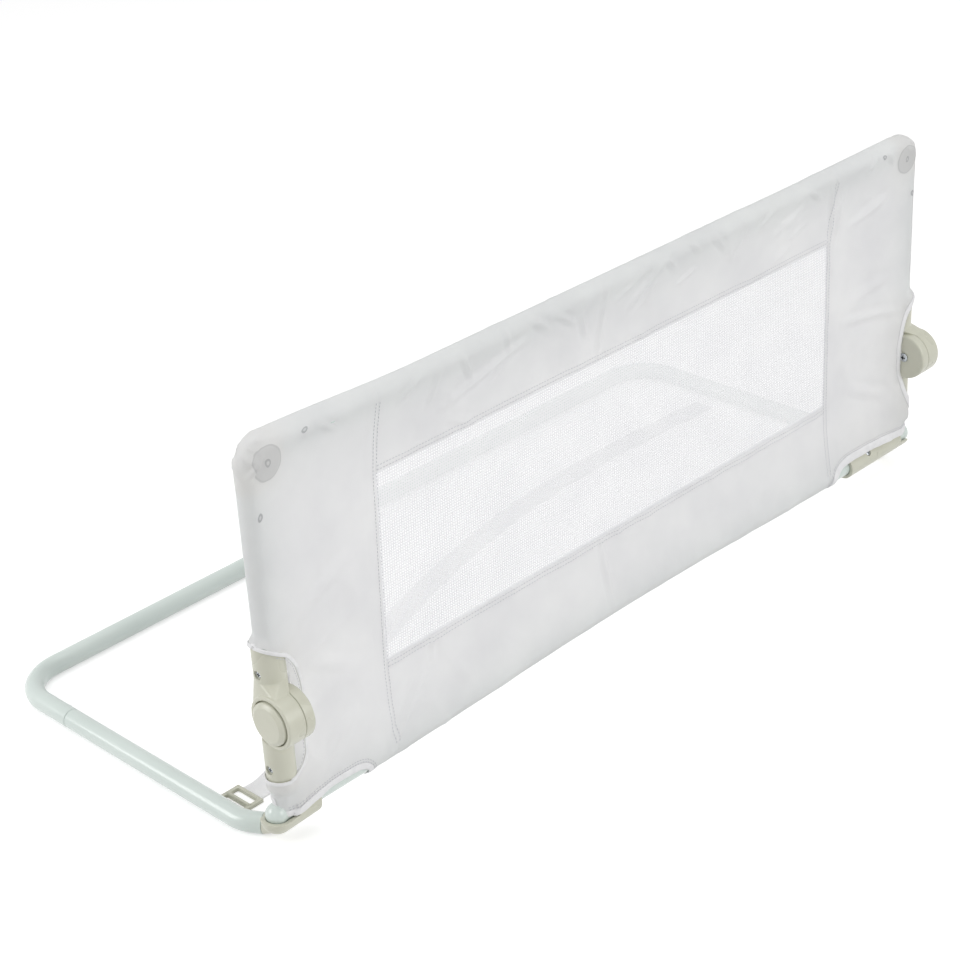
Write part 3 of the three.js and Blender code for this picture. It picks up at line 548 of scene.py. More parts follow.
def hard_piece(node, solid, kind, body, side=0):
    """A piece that takes the place of one frame node. Those at the ends have the end's name before it."""
    finish, ending, slot = kind
    name = f"{SIDES[side]}_{node}" if side else node
    finished(f"{name}_{ending}", solid, finish, body, [name], side or 1)


# Camera, light and floor ----------------------------------------------------------------------------

WORLD_LIGHT = 0.44
FLOOR_GLOW = 0.5
FLOOR_REACH = 9.0


def set_camera():
    """The photograph's viewpoint, solved from the rail's own lines."""
    data = bpy.data.cameras.new("camera")
    data.sensor_width, data.lens = 36.0, 82.4167
    camera = bpy.data.objects.new("camera", data)
    camera.location = (-1.35634, -1.36391, 1.12097)
    camera.rotation_mode = "QUATERNION"
    camera.rotation_quaternion = (0.7829563, 0.483953, -0.1809486, -0.3464485)
    bpy.context.scene.collection.objects.link(camera)
    bpy.context.scene.camera = camera


def softbox(name, place, aim, size, power):
    data = bpy.data.lights.new(name, "AREA")
    data.shape, data.size, data.energy = "SQUARE", size, power
    made = bpy.data.objects.new(name, data)
    made.location = place
    made.rotation_mode = "QUATERNION"
    made.rotation_quaternion = (Vector(aim) - Vector(place)).to_track_quat("-Z", "Y")
    bpy.context.scene.collection.objects.link(made)


def seen_directly(tree):
    """1 for rays that show the background itself: from the camera, by reflection or through glass."""
    path = add(tree, "ShaderNodeLightPath")
    either = add(tree, "ShaderNodeMath", {0: path.outputs["Is Camera Ray"], 1: path.outputs["Is Glossy Ray"]},
                 operation="MAXIMUM")
    return add(tree, "ShaderNodeMath", {0: either.outputs["Value"], 1: path.outputs["Is Transmission Ray"]},
               operation="MAXIMUM").outputs["Value"]


def white_surroundings():
    world = bpy.data.worlds.new("white_room")
    world.use_nodes = True
    bpy.context.scene.world = world
    tree = world.node_tree
    strength = add(tree, "ShaderNodeMapRange", {"Value": seen_directly(tree), "To Min": WORLD_LIGHT,
                                                "To Max": 1.0})
    sky = tree.nodes["Background"]
    sky.inputs["Color"].default_value = (1, 1, 1, 1)
    tree.links.new(strength.outputs["Result"], sky.inputs["Strength"])


def pale_floor():
    """Matt white paper. A little glow lifts it to white for the eye and leaves the object's shadow."""
    paper = bpy.data.materials.new("matt_white_paper")
    paper.use_nodes = True
    tree = paper.node_tree
    tree.nodes.clear()
    matt = add(tree, "ShaderNodeBsdfDiffuse", {"Color": linear("E6E6E6")})
    glow = add(tree, "ShaderNodeEmission", {"Color": (1, 1, 1, 1), "Strength": FLOOR_GLOW})
    lifted = add(tree, "ShaderNodeAddShader", {0: matt.outputs["BSDF"], 1: glow.outputs["Emission"]})
    chosen = add(tree, "ShaderNodeMixShader", {0: seen_directly(tree), 1: matt.outputs["BSDF"],
                                               2: lifted.outputs["Shader"]})
    out = add(tree, "ShaderNodeOutputMaterial")
    tree.links.new(chosen.outputs["Shader"], out.inputs["Surface"])
    corners = [Vector((x, y, 0)) * FLOOR_REACH for x, y in ((-1, -1), (1, -1), (1, 1), (-1, 1))]
    floor = loose_object("floor", (corners, [[0, 1, 2, 3]]))
    floor.data.materials.append(paper)


set_camera()
softbox("front_right", place=(0.9, -4.4, 2.0), aim=(0, -0.17, 0.15), size=2.4, power=72)
softbox("rear_left", place=(-2.3, 1.3, 1.3), aim=(-0.2, 0, 0.1), size=1.4, power=27)
softbox("overhead", place=(0, -0.2, 2.8), aim=(0, 0, 0), size=2.2, power=22)
white_surroundings()
pale_floor()
bpy.context.scene.view_settings.view_transform = "Standard"


# Webbing strap and its buckle ------------------------------------------------------------------------

STRAP_WIDTH, STRAP_THICKNESS, STRAP_LIFT = 25.0, 1.4, 0.2
STRAP_MIDDLE_Z = STRAP_LIFT + STRAP_THICKNESS / 2 - RAIL_ORIGIN.z / MM
STRAP_ROUTE = [(-412.9, 77), (-396, 77.6), (-372, 85), (-330, 101), (-260, 134), (-180, 170), (-90, 203),
               (0, 228), (90, 246), (180, 256), (270, 259), (350, 257), (425, 252)]


def smooth_line(points, steps):
    """A Catmull-Rom line through the points, its parameter spaced by the square root of each run."""
    line = []
    points = np.array(points, float)
    reached = [2 * points[0] - points[1], *points, 2 * points[-1] - points[-2]]
    for a, b, c, d in zip(reached, reached[1:], reached[2:], reached[3:]):
        knots = [0.0, *np.cumsum([np.linalg.norm(q - p) ** 0.5 for p, q in ((a, b), (b, c), (c, d))])]
        for t in np.linspace(knots[1], knots[2], steps, endpoint=False):
            mixed = [a, b, c, d]
            for spans in (((0, 1), (1, 2), (2, 3)), ((0, 2), (1, 3)), ((1, 2),)):
                mixed = [(p * (knots[j] - t) + q * (t - knots[i])) / (knots[j] - knots[i])
                         for p, q, (i, j) in zip(mixed, mixed[1:], spans)]
            line.append(mixed[0])
    return [*line, points[-1]]


def webbing_strap():
    """Flat webbing on the floor, from the buckle behind the left arm across the base."""
    line = smooth_line(STRAP_ROUTE, 10)
    section = [(-1, -0.5), (-1.0, 0.1), (-0.96, 0.5), (-0.4, 0.42), (0, 0.5), (0.4, 0.42), (0.96, 0.5),
               (1.0, 0.1), (1, -0.5), (0, -0.5)]
    rings, uv = [], []
    travelled = 0.0
    for i, point in enumerate(line):
        after, before = line[min(i + 1, len(line) - 1)], line[max(i - 1, 0)]
        heading = (after - before) / np.linalg.norm(after - before)
        travelled += np.linalg.norm(point - before) if i else 0.0
        rings.append([])
        for across, up in section:
            x, y = point + np.array([-heading[1], heading[0]]) * across * STRAP_WIDTH / 2
            rings[-1].append(Vector((x, y, STRAP_MIDDLE_Z + up * STRAP_THICKNESS)))
            uv.append((travelled, across * STRAP_WIDTH / 2))
    strap = finished("webbing_strap", lofted(rings), WEBBING, "base", ["anchor_strap"], uv=uv)
    path = [RAIL_ORIGIN + Vector((p[0], p[1], STRAP_MIDDLE_Z)) * MM for p in line]
    length = sum((b - a).length for a, b in zip(path, path[1:]))
    return strap, path, length


def ladder_buckle():
    """A flat ladder buckle: a rounded frame, a raised middle bar, a lifted thumb edge and two fine grips."""
    low_x, low_y = -441.5, 60.2
    length, width, height, bar = 27.8, 33.6, 3.4, 4.0
    floor_z = STRAP_LIFT - RAIL_ORIGIN.z / MM
    top = floor_z + height
    frame_block = block((low_x, low_y, floor_z), (low_x + length, low_y + width, top))
    middle_bar = (11.6, 15.6)
    slots = [block((low_x + start, low_y + bar, floor_z - 3), (low_x + end, low_y + width - bar, top + 3))
             for start, end in ((bar, middle_bar[0]), (middle_bar[1], length - bar))]
    bars = []
    for radius, x, inset, sides in ((1.6, 13.6, 2, 24), (1.5, 2, 2, 24), (0.7, 24.3, 4, 16),
                                    (0.7, 26.3, 4, 16)):
        start, end = (Vector((low_x + x, y, top)) for y in (low_y + inset, low_y + width - inset))
        bars.append(rod(radius, start, end, sides))
    solid = carved([frame_block, *bars], slots, voxel=0.45, relax=2)
    return finished("ladder_buckle", solid, IVORY, "base", ["strap_buckle"])


strap, strap_path, strap_length = webbing_strap()
buckle = ladder_buckle()


# Steel tubes ----------------------------------------------------------------------------------------

def arm_front():
    """The toe's direction, the corner it bends at and its end, at the right end."""
    along = Vector((-math.sin(TOE_ANGLE), -math.cos(TOE_ANGLE), 0))
    run = TOE_RADIUS * math.tan(TOE_ANGLE / 2) + TOE_STRAIGHT
    corner = Vector((ARM_X, ARM_FRONT + run * math.cos(TOE_ANGLE), -BASE_DROP))
    return along, corner, corner + along * run


def base_arm(side):
    _, corner, front = arm_front()
    end = Vector((ARM_X, REAR_LEG_END - CLEARANCE, -BASE_DROP))
    outside = swept(rounded([front, corner, end], TOE_RADIUS), TUBE_RADIUS, lip=0.5)
    neck = swept([end - Y_AXIS * 2, end + Y_AXIS * 30], TUBE_BORE - CLEARANCE, lip=1.0)
    hard_piece("base_arm", merged([outside, neck]), COATED, "base", side)


def rear_tube():
    corners = [Vector((x, y, -BASE_DROP)) for x, y in ((-ARM_X, REAR_LEG_END), (-ARM_X, BASE_DEPTH),
                                                       (ARM_X, BASE_DEPTH), (ARM_X, REAR_LEG_END))]
    hard_piece("rear_tube", swept(rounded(corners, REAR_BEND, 20), TUBE_RADIUS, lip=0.5), COATED, "base")


def bow(x):
    """The bottom tube's slight upward bow."""
    share = np.minimum(np.abs(x) / BOW_REACH, 1)
    return BOW_HEIGHT * (1 - share ** 2) ** 2


def bottom_tube():
    path = [mid_depth(x, float(bow(x))) for x in np.linspace(-WELD_X, WELD_X, 61)]
    hard_piece("bottom_tube", swept(path, TUBE_RADIUS), COATED, "lower_frame")


def stub_and_heel(side):
    """The stub is welded to the bottom tube's rounded end, with a small fillet."""
    fillet, stub_top = 0.6, 68.7
    heel = [rod(TUBE_RADIUS, mid_depth(WELD_X), mid_depth(DOME_X), 48),
            ball(TUBE_RADIUS + fillet, mid_depth(DOME_X))]
    stub = rod(TUBE_RADIUS, mid_depth(HALF_SPAN), mid_depth(HALF_SPAN, stub_top), 48)
    hard_piece("stub_tube", carved([*heel, stub], voxel=0.8, relax=6), COATED, "lower_frame", side)


def snap_pin(side):
    """The sprung dot that locks the arm in the rear tube's leg."""
    radius, length = 3.4, 5.5
    foot = Vector((ARM_X - 5, REAR_LEG_END + 15, -BASE_DROP))
    profile = eased([(0, 0), (radius, 0), (radius, length - 0.3), (2.2, length), (0, length)], 1.0)
    hard_piece("snap_pin", turned(profile, foot, -X_AXIS, 32), PLATED, "base", side)


# Corner fittings --------------------------------------------------------------------------------------

def stop_screw_line(side):
    across = Vector((0, math.cos(STOP_SCREW_ANGLE), math.sin(STOP_SCREW_ANGLE)))
    return mid_depth(HALF_SPAN - STOP_SCREW_INSET[side]), across


def corner_fitting(side):
    """A moulded sleeve for the bottom tube with a C-shaped mouth, and a web down to the arm's end."""
    along, _, front = arm_front()
    inner, outer = HALF_SPAN - FITTING_REACH[side], HALF_SPAN + FITTING_END[side]
    barrel = rod(FITTING_RADIUS, mid_depth(inner), mid_depth(min(outer, DOME_X)), 96)[0]
    if outer > DOME_X:
        barrel = barrel + ball(outer - DOME_X, mid_depth(DOME_X))[0]
    drop = Z_AXIS * FITTING_DROP[side]
    sleeve = hull([v - lower for v in barrel for lower in (Vector(), drop)])
    across = Vector((math.cos(TOE_ANGLE), -math.sin(TOE_ANGLE), 0))
    web_foot, web_head, spigot_radius = 9.4, 13.2, TUBE_BORE - CLEARANCE
    web = circle(front + along * CLEARANCE, across, Z_AXIS, web_foot, 48)
    for angle in np.linspace(-0.65 * math.pi, 0, 25):
        y, z = web_head * math.cos(angle), web_head * math.sin(angle) - FITTING_DROP[side]
        web += [Vector((x, y, z)) for x in (HALF_SPAN - TUBE_RADIUS, min(outer - CLEARANCE, DOME_X + 2))]
    spigot = rod(spigot_radius, front - along * 8.5, front + along * 9.5, 48)
    # Room for the tube's rounded heel, for the cloth round the upright and for its cuff
    bowl = [(0, HALF_SPAN - WRAP_ROOM), (MOUTH_RADIUS, HALF_SPAN - WRAP_ROOM)]
    bowl += [(MOUTH_RADIUS * math.cos(a), DOME_X + MOUTH_RADIUS * math.sin(a))
             for a in np.linspace(0, math.pi / 2, 14)[:-1]] + [(0, DOME_X + MOUTH_RADIUS)]
    wrap = [(-WRAP_ROOM, 45), (-WRAP_ROOM, -1.5), (0, -1.5), (0, -WRAP_ROOM), (45, -WRAP_ROOM), (45, 45)]
    above_heel = [Vector((x, y, z)) for y in (-40, 44)
                  for x, z in ((429, 44), (433.5, -2.5), (447, -3.5), (470, -1), (470, 44))]
    middle, screw_across = stop_screw_line(side)
    cuts = [
        rod(SLEEVE_BORE, mid_depth(inner - 3), mid_depth(HALF_SPAN), 96),
        turned(bowl, Vector(), X_AXIS, 96),
        slab(wrap, HALF_SPAN - WRAP_ROOM - 0.1, HALF_SPAN + WRAP_ROOM),
        block((HALF_SPAN - CUFF_ROOM, SLEEVE_BORE, -CUFF_ROOM), (outer + 3, 46, 46)),
        hull(above_heel),
        rod(STOP_SCREW_HEAD + 0.5, middle + screw_across * 10.4, middle + screw_across * 17, 40),
    ]
    solid = carved([sleeve, hull(web), spigot], cuts, voxel=0.55, relax=3)
    hard_piece("corner_fitting", solid, MOULDED, "base", side)


def cross_head(radius, height, tip, axis, shank, shank_length):
    """A pan-head screw with a cross recess. Its head's top is at the tip."""
    first, second, along = ring_axes(axis)
    profile = [(0, -shank_length), (shank, -shank_length), (shank, -height), (radius, -height),
               (radius, -0.45 * height), (0.72 * radius, -0.08 * height), (0, 0)]
    head = turned(eased(profile, 0.5), tip, along, 48)
    recesses = []
    for wide, narrow in ((first, second), (second, first)):
        corners = [tip + along * depth + wide * a * 0.55 * radius + narrow * b * 0.13 * radius
                   for depth in (-0.75 * height, height) for a, b in ((-1, -1), (1, -1), (1, 1), (-1, 1))]
        recesses.append((corners, [[3, 2, 1, 0], [4, 5, 6, 7], [0, 1, 5, 4], [1, 2, 6, 5], [2, 3, 7, 6],
                                   [3, 0, 4, 7]]))
    return carved([head], recesses)


def stop_screw(side):
    middle, across = stop_screw_line(side)
    solid = cross_head(STOP_SCREW_HEAD, 2.0, middle + across * 12.6, across, shank=2.0, shank_length=6.1)
    hard_piece("stop_screw", solid, PLATED, "base", side)


# Hinges -----------------------------------------------------------------------------------------------

def on_hinge(x):
    return Vector((x, HINGE_Y, HINGE_Z))


def drum(profile, closed=False):
    return turned(profile, on_hinge(0), X_AXIS, 120, closed)


def neck_between(radius, level, angles, from_x, to_x, half=False):
    """A smooth body from a socket's ring to part of the drum's rim, hollowed where the drum is."""
    points = []
    for a in np.linspace(0, 2 * math.pi, 64, endpoint=False):
        x, y = HALF_SPAN + radius * math.cos(a), radius * math.sin(a)
        if not half or x < to_x:
            points.append(Vector((x, y, level)))
    rim = DRUM_RADIUS - CLEARANCE
    for a in np.linspace(*angles, 30):
        y, z = HINGE_Y + rim * math.cos(a), HINGE_Z + rim * math.sin(a)
        points += [Vector((from_x, y, z)), Vector((to_x, y, z))]
    hollow = rod(DRUM_RADIUS - 1.5, on_hinge(from_x - 20), on_hinge(to_x + 20), 120)
    return carved([hull(points)], [hollow])


def housing(side, level, body, shell, neck, bore):
    """One half of the drum with its neck and the socket that takes a tube, bored from end to end of bore."""
    radius, bottom, top = SOCKETS[level]
    socket = rod(radius, mid_depth(HALF_SPAN, bottom), mid_depth(HALF_SPAN, top), 96)
    tube = rod(SLEEVE_BORE, mid_depth(HALF_SPAN, bore[0]), mid_depth(HALF_SPAN, bore[1]), 64)
    screw_seat, past_socket = HALF_SPAN + radius - 2.9, HALF_SPAN + radius + 3
    screw = rod(4.0, mid_depth(screw_seat, SCREW_Z[level]), mid_depth(past_socket, SCREW_Z[level]), 40)
    solid = carved([drum(shell, closed=True), neck, socket], [tube, screw], voxel=0.5, relax=3)
    hard_piece(f"{level}_hinge_housing", solid, MOULDED, body, side)


def upper_housing(side):
    """The drum's outer half, with a rim round the button's pocket."""
    radius, bottom, top = SOCKETS["upper"]
    seam = HALF_SPAN + CLEARANCE
    shell = [(AXLE_HOLE, seam), (DRUM_RADIUS - 0.4, seam)]
    shell += eased([(DRUM_RADIUS, seam + 0.4), (DRUM_RADIUS, DRUM_OUTER), (POCKET, DRUM_OUTER)], 2.4)
    shell += [(POCKET, DRUM_OUTER - DRUM_WALL), (DRUM_INSIDE, DRUM_OUTER - DRUM_WALL),
              (DRUM_INSIDE, seam + DRUM_WALL), (AXLE_HOLE, seam + DRUM_WALL)]
    neck = neck_between(radius - NECK_INSET, bottom + 3, (0.03 * math.pi, 0.6 * math.pi), seam + 0.5,
                        DRUM_OUTER - 2.2)
    housing(side, "upper", "upper_panel", shell, neck, (bottom + 2.7, top + 3))


def lower_housing(side):
    """The drum's inner half, closed on its inner face."""
    radius, bottom, top = SOCKETS["lower"]
    shell = eased([(AXLE_HOLE, DRUM_INNER), (DRUM_RADIUS, DRUM_INNER), (DRUM_RADIUS, HALF_SPAN - 0.5)], 2.2)
    shell += [(DRUM_RADIUS - 0.5, HALF_SPAN), (DRUM_INSIDE, HALF_SPAN), (DRUM_INSIDE, DRUM_INNER + DRUM_WALL),
              (AXLE_HOLE, DRUM_INNER + DRUM_WALL)]
    neck = neck_between(radius - NECK_INSET, top - 3, (-0.45 * math.pi, -0.03 * math.pi), DRUM_INNER + 1.9,
                        HALF_SPAN - 0.15, half=True)
    housing(side, "lower", "lower_frame", shell, neck, (bottom - 3, top - 2.7))


def release_button(side):
    """A round button with a flat face, a wide chamfer and a flange that keeps it in the drum."""
    face_radius, radius, flange_radius, skirt = 15.6, 19.2, 20.6, 16.5
    flange, behind = DRUM_OUTER - 2.8, BUTTON_FACE - 2.5
    profile = [(0, BUTTON_FACE), (face_radius, BUTTON_FACE), (radius, behind), (radius, flange),
               (flange_radius, flange), (flange_radius, flange - 2), (skirt, flange - 2), (skirt, behind),
               (0, behind)]
    hard_piece("release_button", drum(eased(profile, 0.7)), MOULDED, f"button_{SIDES[side]}", side)


def hinge_axle(side):
    """The pin through the drum. Its low domed head shows on the inner face."""
    head = DRUM_INNER - CLEARANCE
    shank = rod(3.0, on_hinge(head - 0.5), on_hinge(HALF_SPAN + 8), 40)
    dome = cross_head(4.8, 2.0, on_hinge(head - 2.0), -X_AXIS, shank=3.0, shank_length=2.4)
    hard_piece("hinge_axle", merged([dome, shank]), PLATED, "lower_frame", side)


def connector_screw(side, level, body):
    socket_radius = SOCKETS[level][0]
    tip = mid_depth(HALF_SPAN + socket_radius - 1.7, SCREW_Z[level])
    solid = cross_head(3.3, 1.6, tip, X_AXIS, shank=1.8, shank_length=socket_radius - 7.5)
    hard_piece(f"{level}_connector_screw", solid, PLATED, body, side)


rear_tube()
bottom_tube()
for end in SIDES:
    for piece in (base_arm, stub_and_heel, snap_pin, corner_fitting, stop_screw, upper_housing, lower_housing,
                  release_button, hinge_axle):
        piece(end)
    connector_screw(end, "upper", "upper_panel")
    connector_screw(end, "lower", "lower_frame")


# Cover -------------------------------------------------------------------------------------------------

# The skin's grid, how often it is relaxed and how much it hangs in each time; how near points are joined,
# and edges drawn onto the cut line
CELL, RELAX_ROUNDS, SLACK = 3.5, 1600, 0.009
JOIN_WITHIN, SNAP_WITHIN = 0.02, 3.2
SEWN_DEPTH = 0.9
PLATE_MIDDLE = (425.5, 320.0)
CORNER_FOLDS, CRUMPLES = (440, 334), (441, 334)
CREASE_RISE, CREASE_WIDTH = 2.1, 0.75
SEAM_RISE, DITCH_DEPTH, HEM_RISE = 0.3, 0.6, 0.45
WRINKLE_RISE, RIPPLE_RISE, FOLD_RISE = 1.7, 0.3, 1.5
PLATE_RISE, RIVET_RISE = 0.8, 0.35
HINGE_TAPE, HEM_TAPE = {1: 5.2, -1: 3.6}, {1: 8.4, -1: 6.2}
TAPE_LIFT, TAPE_THICKNESS, HEM_LIFT, HEM_THICKNESS, THREAD_LIFT = 0.25, 1.5, 0.2, 1.3, 0.1
# Edges of the cloth as (distance from mid length, height): round the hinges and over the corner fittings
HINGE_EDGE = {
    -1: [(455, 168), (448, 165), (436, 159), (428, 153.5), (420, 142), (413.5, 124), (411, 108), (412, 75),
         (414, 52), (417, 43), (422, 36.5), (430, 33), (455, 32)],
    1: [(455, 171), (446, 167), (437, 161), (429, 151), (424, 138), (420.5, 112), (422, 84), (428, 64),
        (437, 46), (447, 33), (455, 27)],
}
# The hems by layer, -1 the front cloth and 1 the back one, and by end
FRONT, BACK = LAYERS = (-1, 1)
HEM = {
    FRONT: {-1: [(341, -14), (342, -8), (344, -3), (349, 1), (358, 3), (390, 3.6), (408, 3.4), (420, 1.6),
                 (432, -0.6), (444, -1.2), (455, -1.0)],
            1: [(316, -12), (319, -5), (324, 3), (331, 8), (342, 10.4), (372, 11), (395, 10.4), (417, 9),
                (440, 7), (455, 6.5)]},
    BACK: {-1: [(341, -12), (347, -4), (356, 4), (370, 8), (390, 10), (455, 12)],
           1: [(316, -12), (321, -4), (329, 4), (342, 9), (360, 11), (455, 10)]},
}
# Creases as x, z, x, z, half width and height, where the cloth is slack
CREASES = [
    (-232, 293, -128, 322, 5, 1.3), (-30, 338, -36, 266, 3.2, 1.0), (-4, 300, 56, 338, 5, 1.1),
    (-39, 86, -32, 8, 3.2, 0.9), (-253, 90, -255, 55, 3, 0.8), (342, 272, 398, 285, 5, 1.5),
    (336, 168, 420, 156, 5, 1.6), (301, 340, 313, 266, 3, 1.0), (326, 316, 318, 258, 3, 1.0),
    (-322, -4, -258, 64, 5, 1.2), (-158, 338, -153, 316, 3, 0.8), (-128, 338, -103, 318, 4, 0.9),
    (44, 340, 66, 318, 4, 0.9), (82, 342, 98, 326, 3, 0.8), (-228, 281, -190, 262, 4, 0.5),
    (352, 190, 412, 196, 6, 0.9), (345, 90, 408, 62, 6, 1.0), (-352, 60, -402, 22, 6, 0.8),
    (-330, 210, -418, 168, 7, 0.7), (210, 300, 262, 322, 5, 0.8), (-400, 128, -345, 100, 6, 0.8),
    (-284, 318, -262, 335, 3.4, 1.0), (-250, 300, -238, 330, 3.0, 0.9), (-212, 333, -196, 306, 3.2, 1.1),
    (-176, 296, -150, 310, 3.0, 0.8), (-96, 330, -70, 312, 3.2, 1.1), (-64, 322, -52, 290, 3.0, 0.9),
    (-18, 316, 8, 326, 3.2, 0.9), (22, 300, 40, 318, 3.0, 0.9), (70, 300, 96, 310, 3.0, 0.8),
    (118, 334, 140, 312, 3.2, 1.0), (150, 300, 168, 330, 3.0, 0.9), (186, 318, 212, 334, 3.2, 1.0),
    (236, 290, 268, 300, 3.0, 0.7), (262, 334, 286, 318, 3.2, 0.9), (-446, 308, -430, 324, 2.6, 1.5),
    (360, 322, 376, 336, 3.0, 1.0), (392, 334, 404, 318, 3.0, 1.0), (-372, 330, -352, 318, 3.0, 0.8),
]


def smooth_step(x, low, high):
    share = np.clip((x - low) / (high - low), 0, 1)
    return share * share * (3 - 2 * share)


def between(low, high, share):
    return low * (1 - share) + high * share


def away_from(place, x, z):
    """Distance over the panel from a place that both ends have."""
    return np.hypot(np.abs(x) - place[0], z - place[1])


def soft_noise(x, z, size, seed):
    """Smooth random heights from -1 to 1, one hill or hollow to each size."""
    table = np.random.default_rng(seed).uniform(-1, 1, (64, 64))
    u, v = x / size, z / size
    i, j = np.floor(u).astype(int), np.floor(v).astype(int)
    s, t = smooth_step(u - i, 0, 1), smooth_step(v - j, 0, 1)
    i, j, right, up = i % 64, j % 64, (i + 1) % 64, (j + 1) % 64
    return between(between(table[i, j], table[right, j], s), between(table[i, up], table[right, up], s), t)


def leaned(solid):
    """The left seam leans outwards towards the bottom, and the cloth beside it goes along. The cloth stands
    fuller at the top corners and is crumpled there."""
    verts = np.array([tuple(v) for v in solid[0]], float)
    x, y, z = verts.T
    lean_top, lean_bottom, full_left, full_right, crumple_reach, crumple_rise = -1.0, 8.5, 6.0, 2.0, 24, 1.5
    lean = between(lean_bottom, lean_top, z / PANEL_HEIGHT)
    x -= lean * smooth_step(x, -HALF_SPAN + 14, -SEAM_X - 8) * smooth_step(-x, 150, SEAM_X - 20)
    fullness = smooth_step(np.abs(x), 250, HALF_SPAN - 6) * smooth_step(z, 255, PANEL_HEIGHT)
    z += np.where(x < 0, full_left, full_right) * fullness
    crumpled = np.exp(-((away_from(CRUMPLES, x, z) / crumple_reach) ** 2))
    folds = [soft_noise(x + y, z - y, 6.5, seed) for seed in (31, 32, 33)]
    verts += crumple_rise * crumpled[:, None] * np.stack(folds, -1)
    return verts, solid[1]


def upright_cloth(x, z):
    """The cloth's radius round the upright and the stub: it widens over the hinge's sockets."""
    upper_swell, lower_swell = 4.2, 3.4
    lower_top = np.where(np.asarray(x) > 0, 74.0, 36.0)
    upper = smooth_step(-z, -174, -163) * ((z > 100) & (z < 176))
    lower = smooth_step(z, 18, 25) * (z < lower_top)
    return CLOTH_RADIUS + upper_swell * upper + lower_swell * lower


def bottom_cloth(x):
    """The cloth's radius round the bottom tube: it widens over the corner fittings."""
    swell = 3.7
    start = HALF_SPAN - np.where(np.asarray(x) > 0, FITTING_REACH[1], FITTING_REACH[-1])
    return CLOTH_RADIUS + swell * smooth_step(np.abs(x), start - 12, start - 1)


def past_corner(x, z):
    """How far a point lies past the middle of a round top corner, sideways and up, and whether it does."""
    p, q = np.abs(x) - (HALF_SPAN - CORNER_RADIUS), z - (PANEL_HEIGHT - CORNER_RADIUS)
    return p, q, (p > 0) & (q > 0)


def outside_by(x, z):
    """How far a point lies outside the tubes' centreline, and the cloth's radius there."""
    p, q, corner = past_corner(x, z)
    side, top, bottom = np.abs(x) - HALF_SPAN, z - PANEL_HEIGHT, bow(x) - z
    out = np.where(corner, np.hypot(p, q) - CORNER_RADIUS, np.maximum(np.maximum(side, top), bottom))
    radius = np.where(~corner & (side >= np.maximum(top, bottom)), upright_cloth(x, z), CLOTH_RADIUS)
    radius = np.where(~corner & (bottom > np.maximum(side, top)), bottom_cloth(x), radius)
    return out, radius


def drawn_tight():
    """How far the front cloth stands from mid depth: a skin drawn over the tubes and corner plates, sewn
    to the mesh at the window, and hanging in a little between them."""
    xs = np.arange(-HALF_SPAN, HALF_SPAN + 0.1, CELL)
    zs = np.linspace(-8, PANEL_HEIGHT, 98)
    x, z = np.meshgrid(xs, zs)
    out, radius = outside_by(x, z)
    rest = np.sqrt(np.maximum(radius ** 2 - np.minimum(out, 0) ** 2, 0))
    side_gap = HALF_SPAN - np.abs(x)
    radius_u, radius_b = upright_cloth(x, z), bottom_cloth(x)
    rest = np.maximum(rest, np.sqrt(np.maximum(radius_u ** 2 - side_gap ** 2, 0)))
    rest = np.maximum(rest, np.sqrt(np.maximum(radius_b ** 2 - (z - bow(x)) ** 2, 0)))
    plate = away_from(PLATE_MIDDLE, x, z)
    plate_depth, rivet_depth, least_depth = 9.2, 10.4, 5.0
    rest = np.maximum(rest, plate_depth * smooth_step(-plate, -15.5, -12.5))
    rest = np.maximum(rest, rivet_depth * smooth_step(-plate, -4.5, -2.5))
    fixed = out >= 0
    window = (np.abs(x) <= SEAM_X + 1) & (z >= WINDOW_BOTTOM - 1) & (z <= WINDOW_TOP + 1)
    depth = np.where(fixed, radius, np.maximum(rest, least_depth))
    depth = np.where(window, SEWN_DEPTH, depth)
    held = fixed | window
    held[[0, -1]] = held[:, [0, -1]] = True
    for _ in range(RELAX_ROUNDS):
        mean = np.zeros_like(depth)
        mean[1:-1, 1:-1] = (depth[2:, 1:-1] + depth[:-2, 1:-1] + depth[1:-1, 2:] + depth[1:-1, :-2]) / 4
        depth = np.where(held, depth, np.maximum(np.maximum(mean - SLACK, rest), SEWN_DEPTH))
    return xs, zs, depth


SKIN_X, SKIN_Z, SKIN = drawn_tight()


def skin_depth(x, z):
    """The skin between its grid's points."""
    i = np.clip((x - SKIN_X[0]) / (SKIN_X[1] - SKIN_X[0]), 0, len(SKIN_X) - 1.001)
    j = np.clip((z - SKIN_Z[0]) / (SKIN_Z[1] - SKIN_Z[0]), 0, len(SKIN_Z) - 1.001)
    a, b = i.astype(int), j.astype(int)
    s, t = i - a, j - b
    return between(between(SKIN[b, a], SKIN[b, a + 1], s), between(SKIN[b + 1, a], SKIN[b + 1, a + 1], s), t)


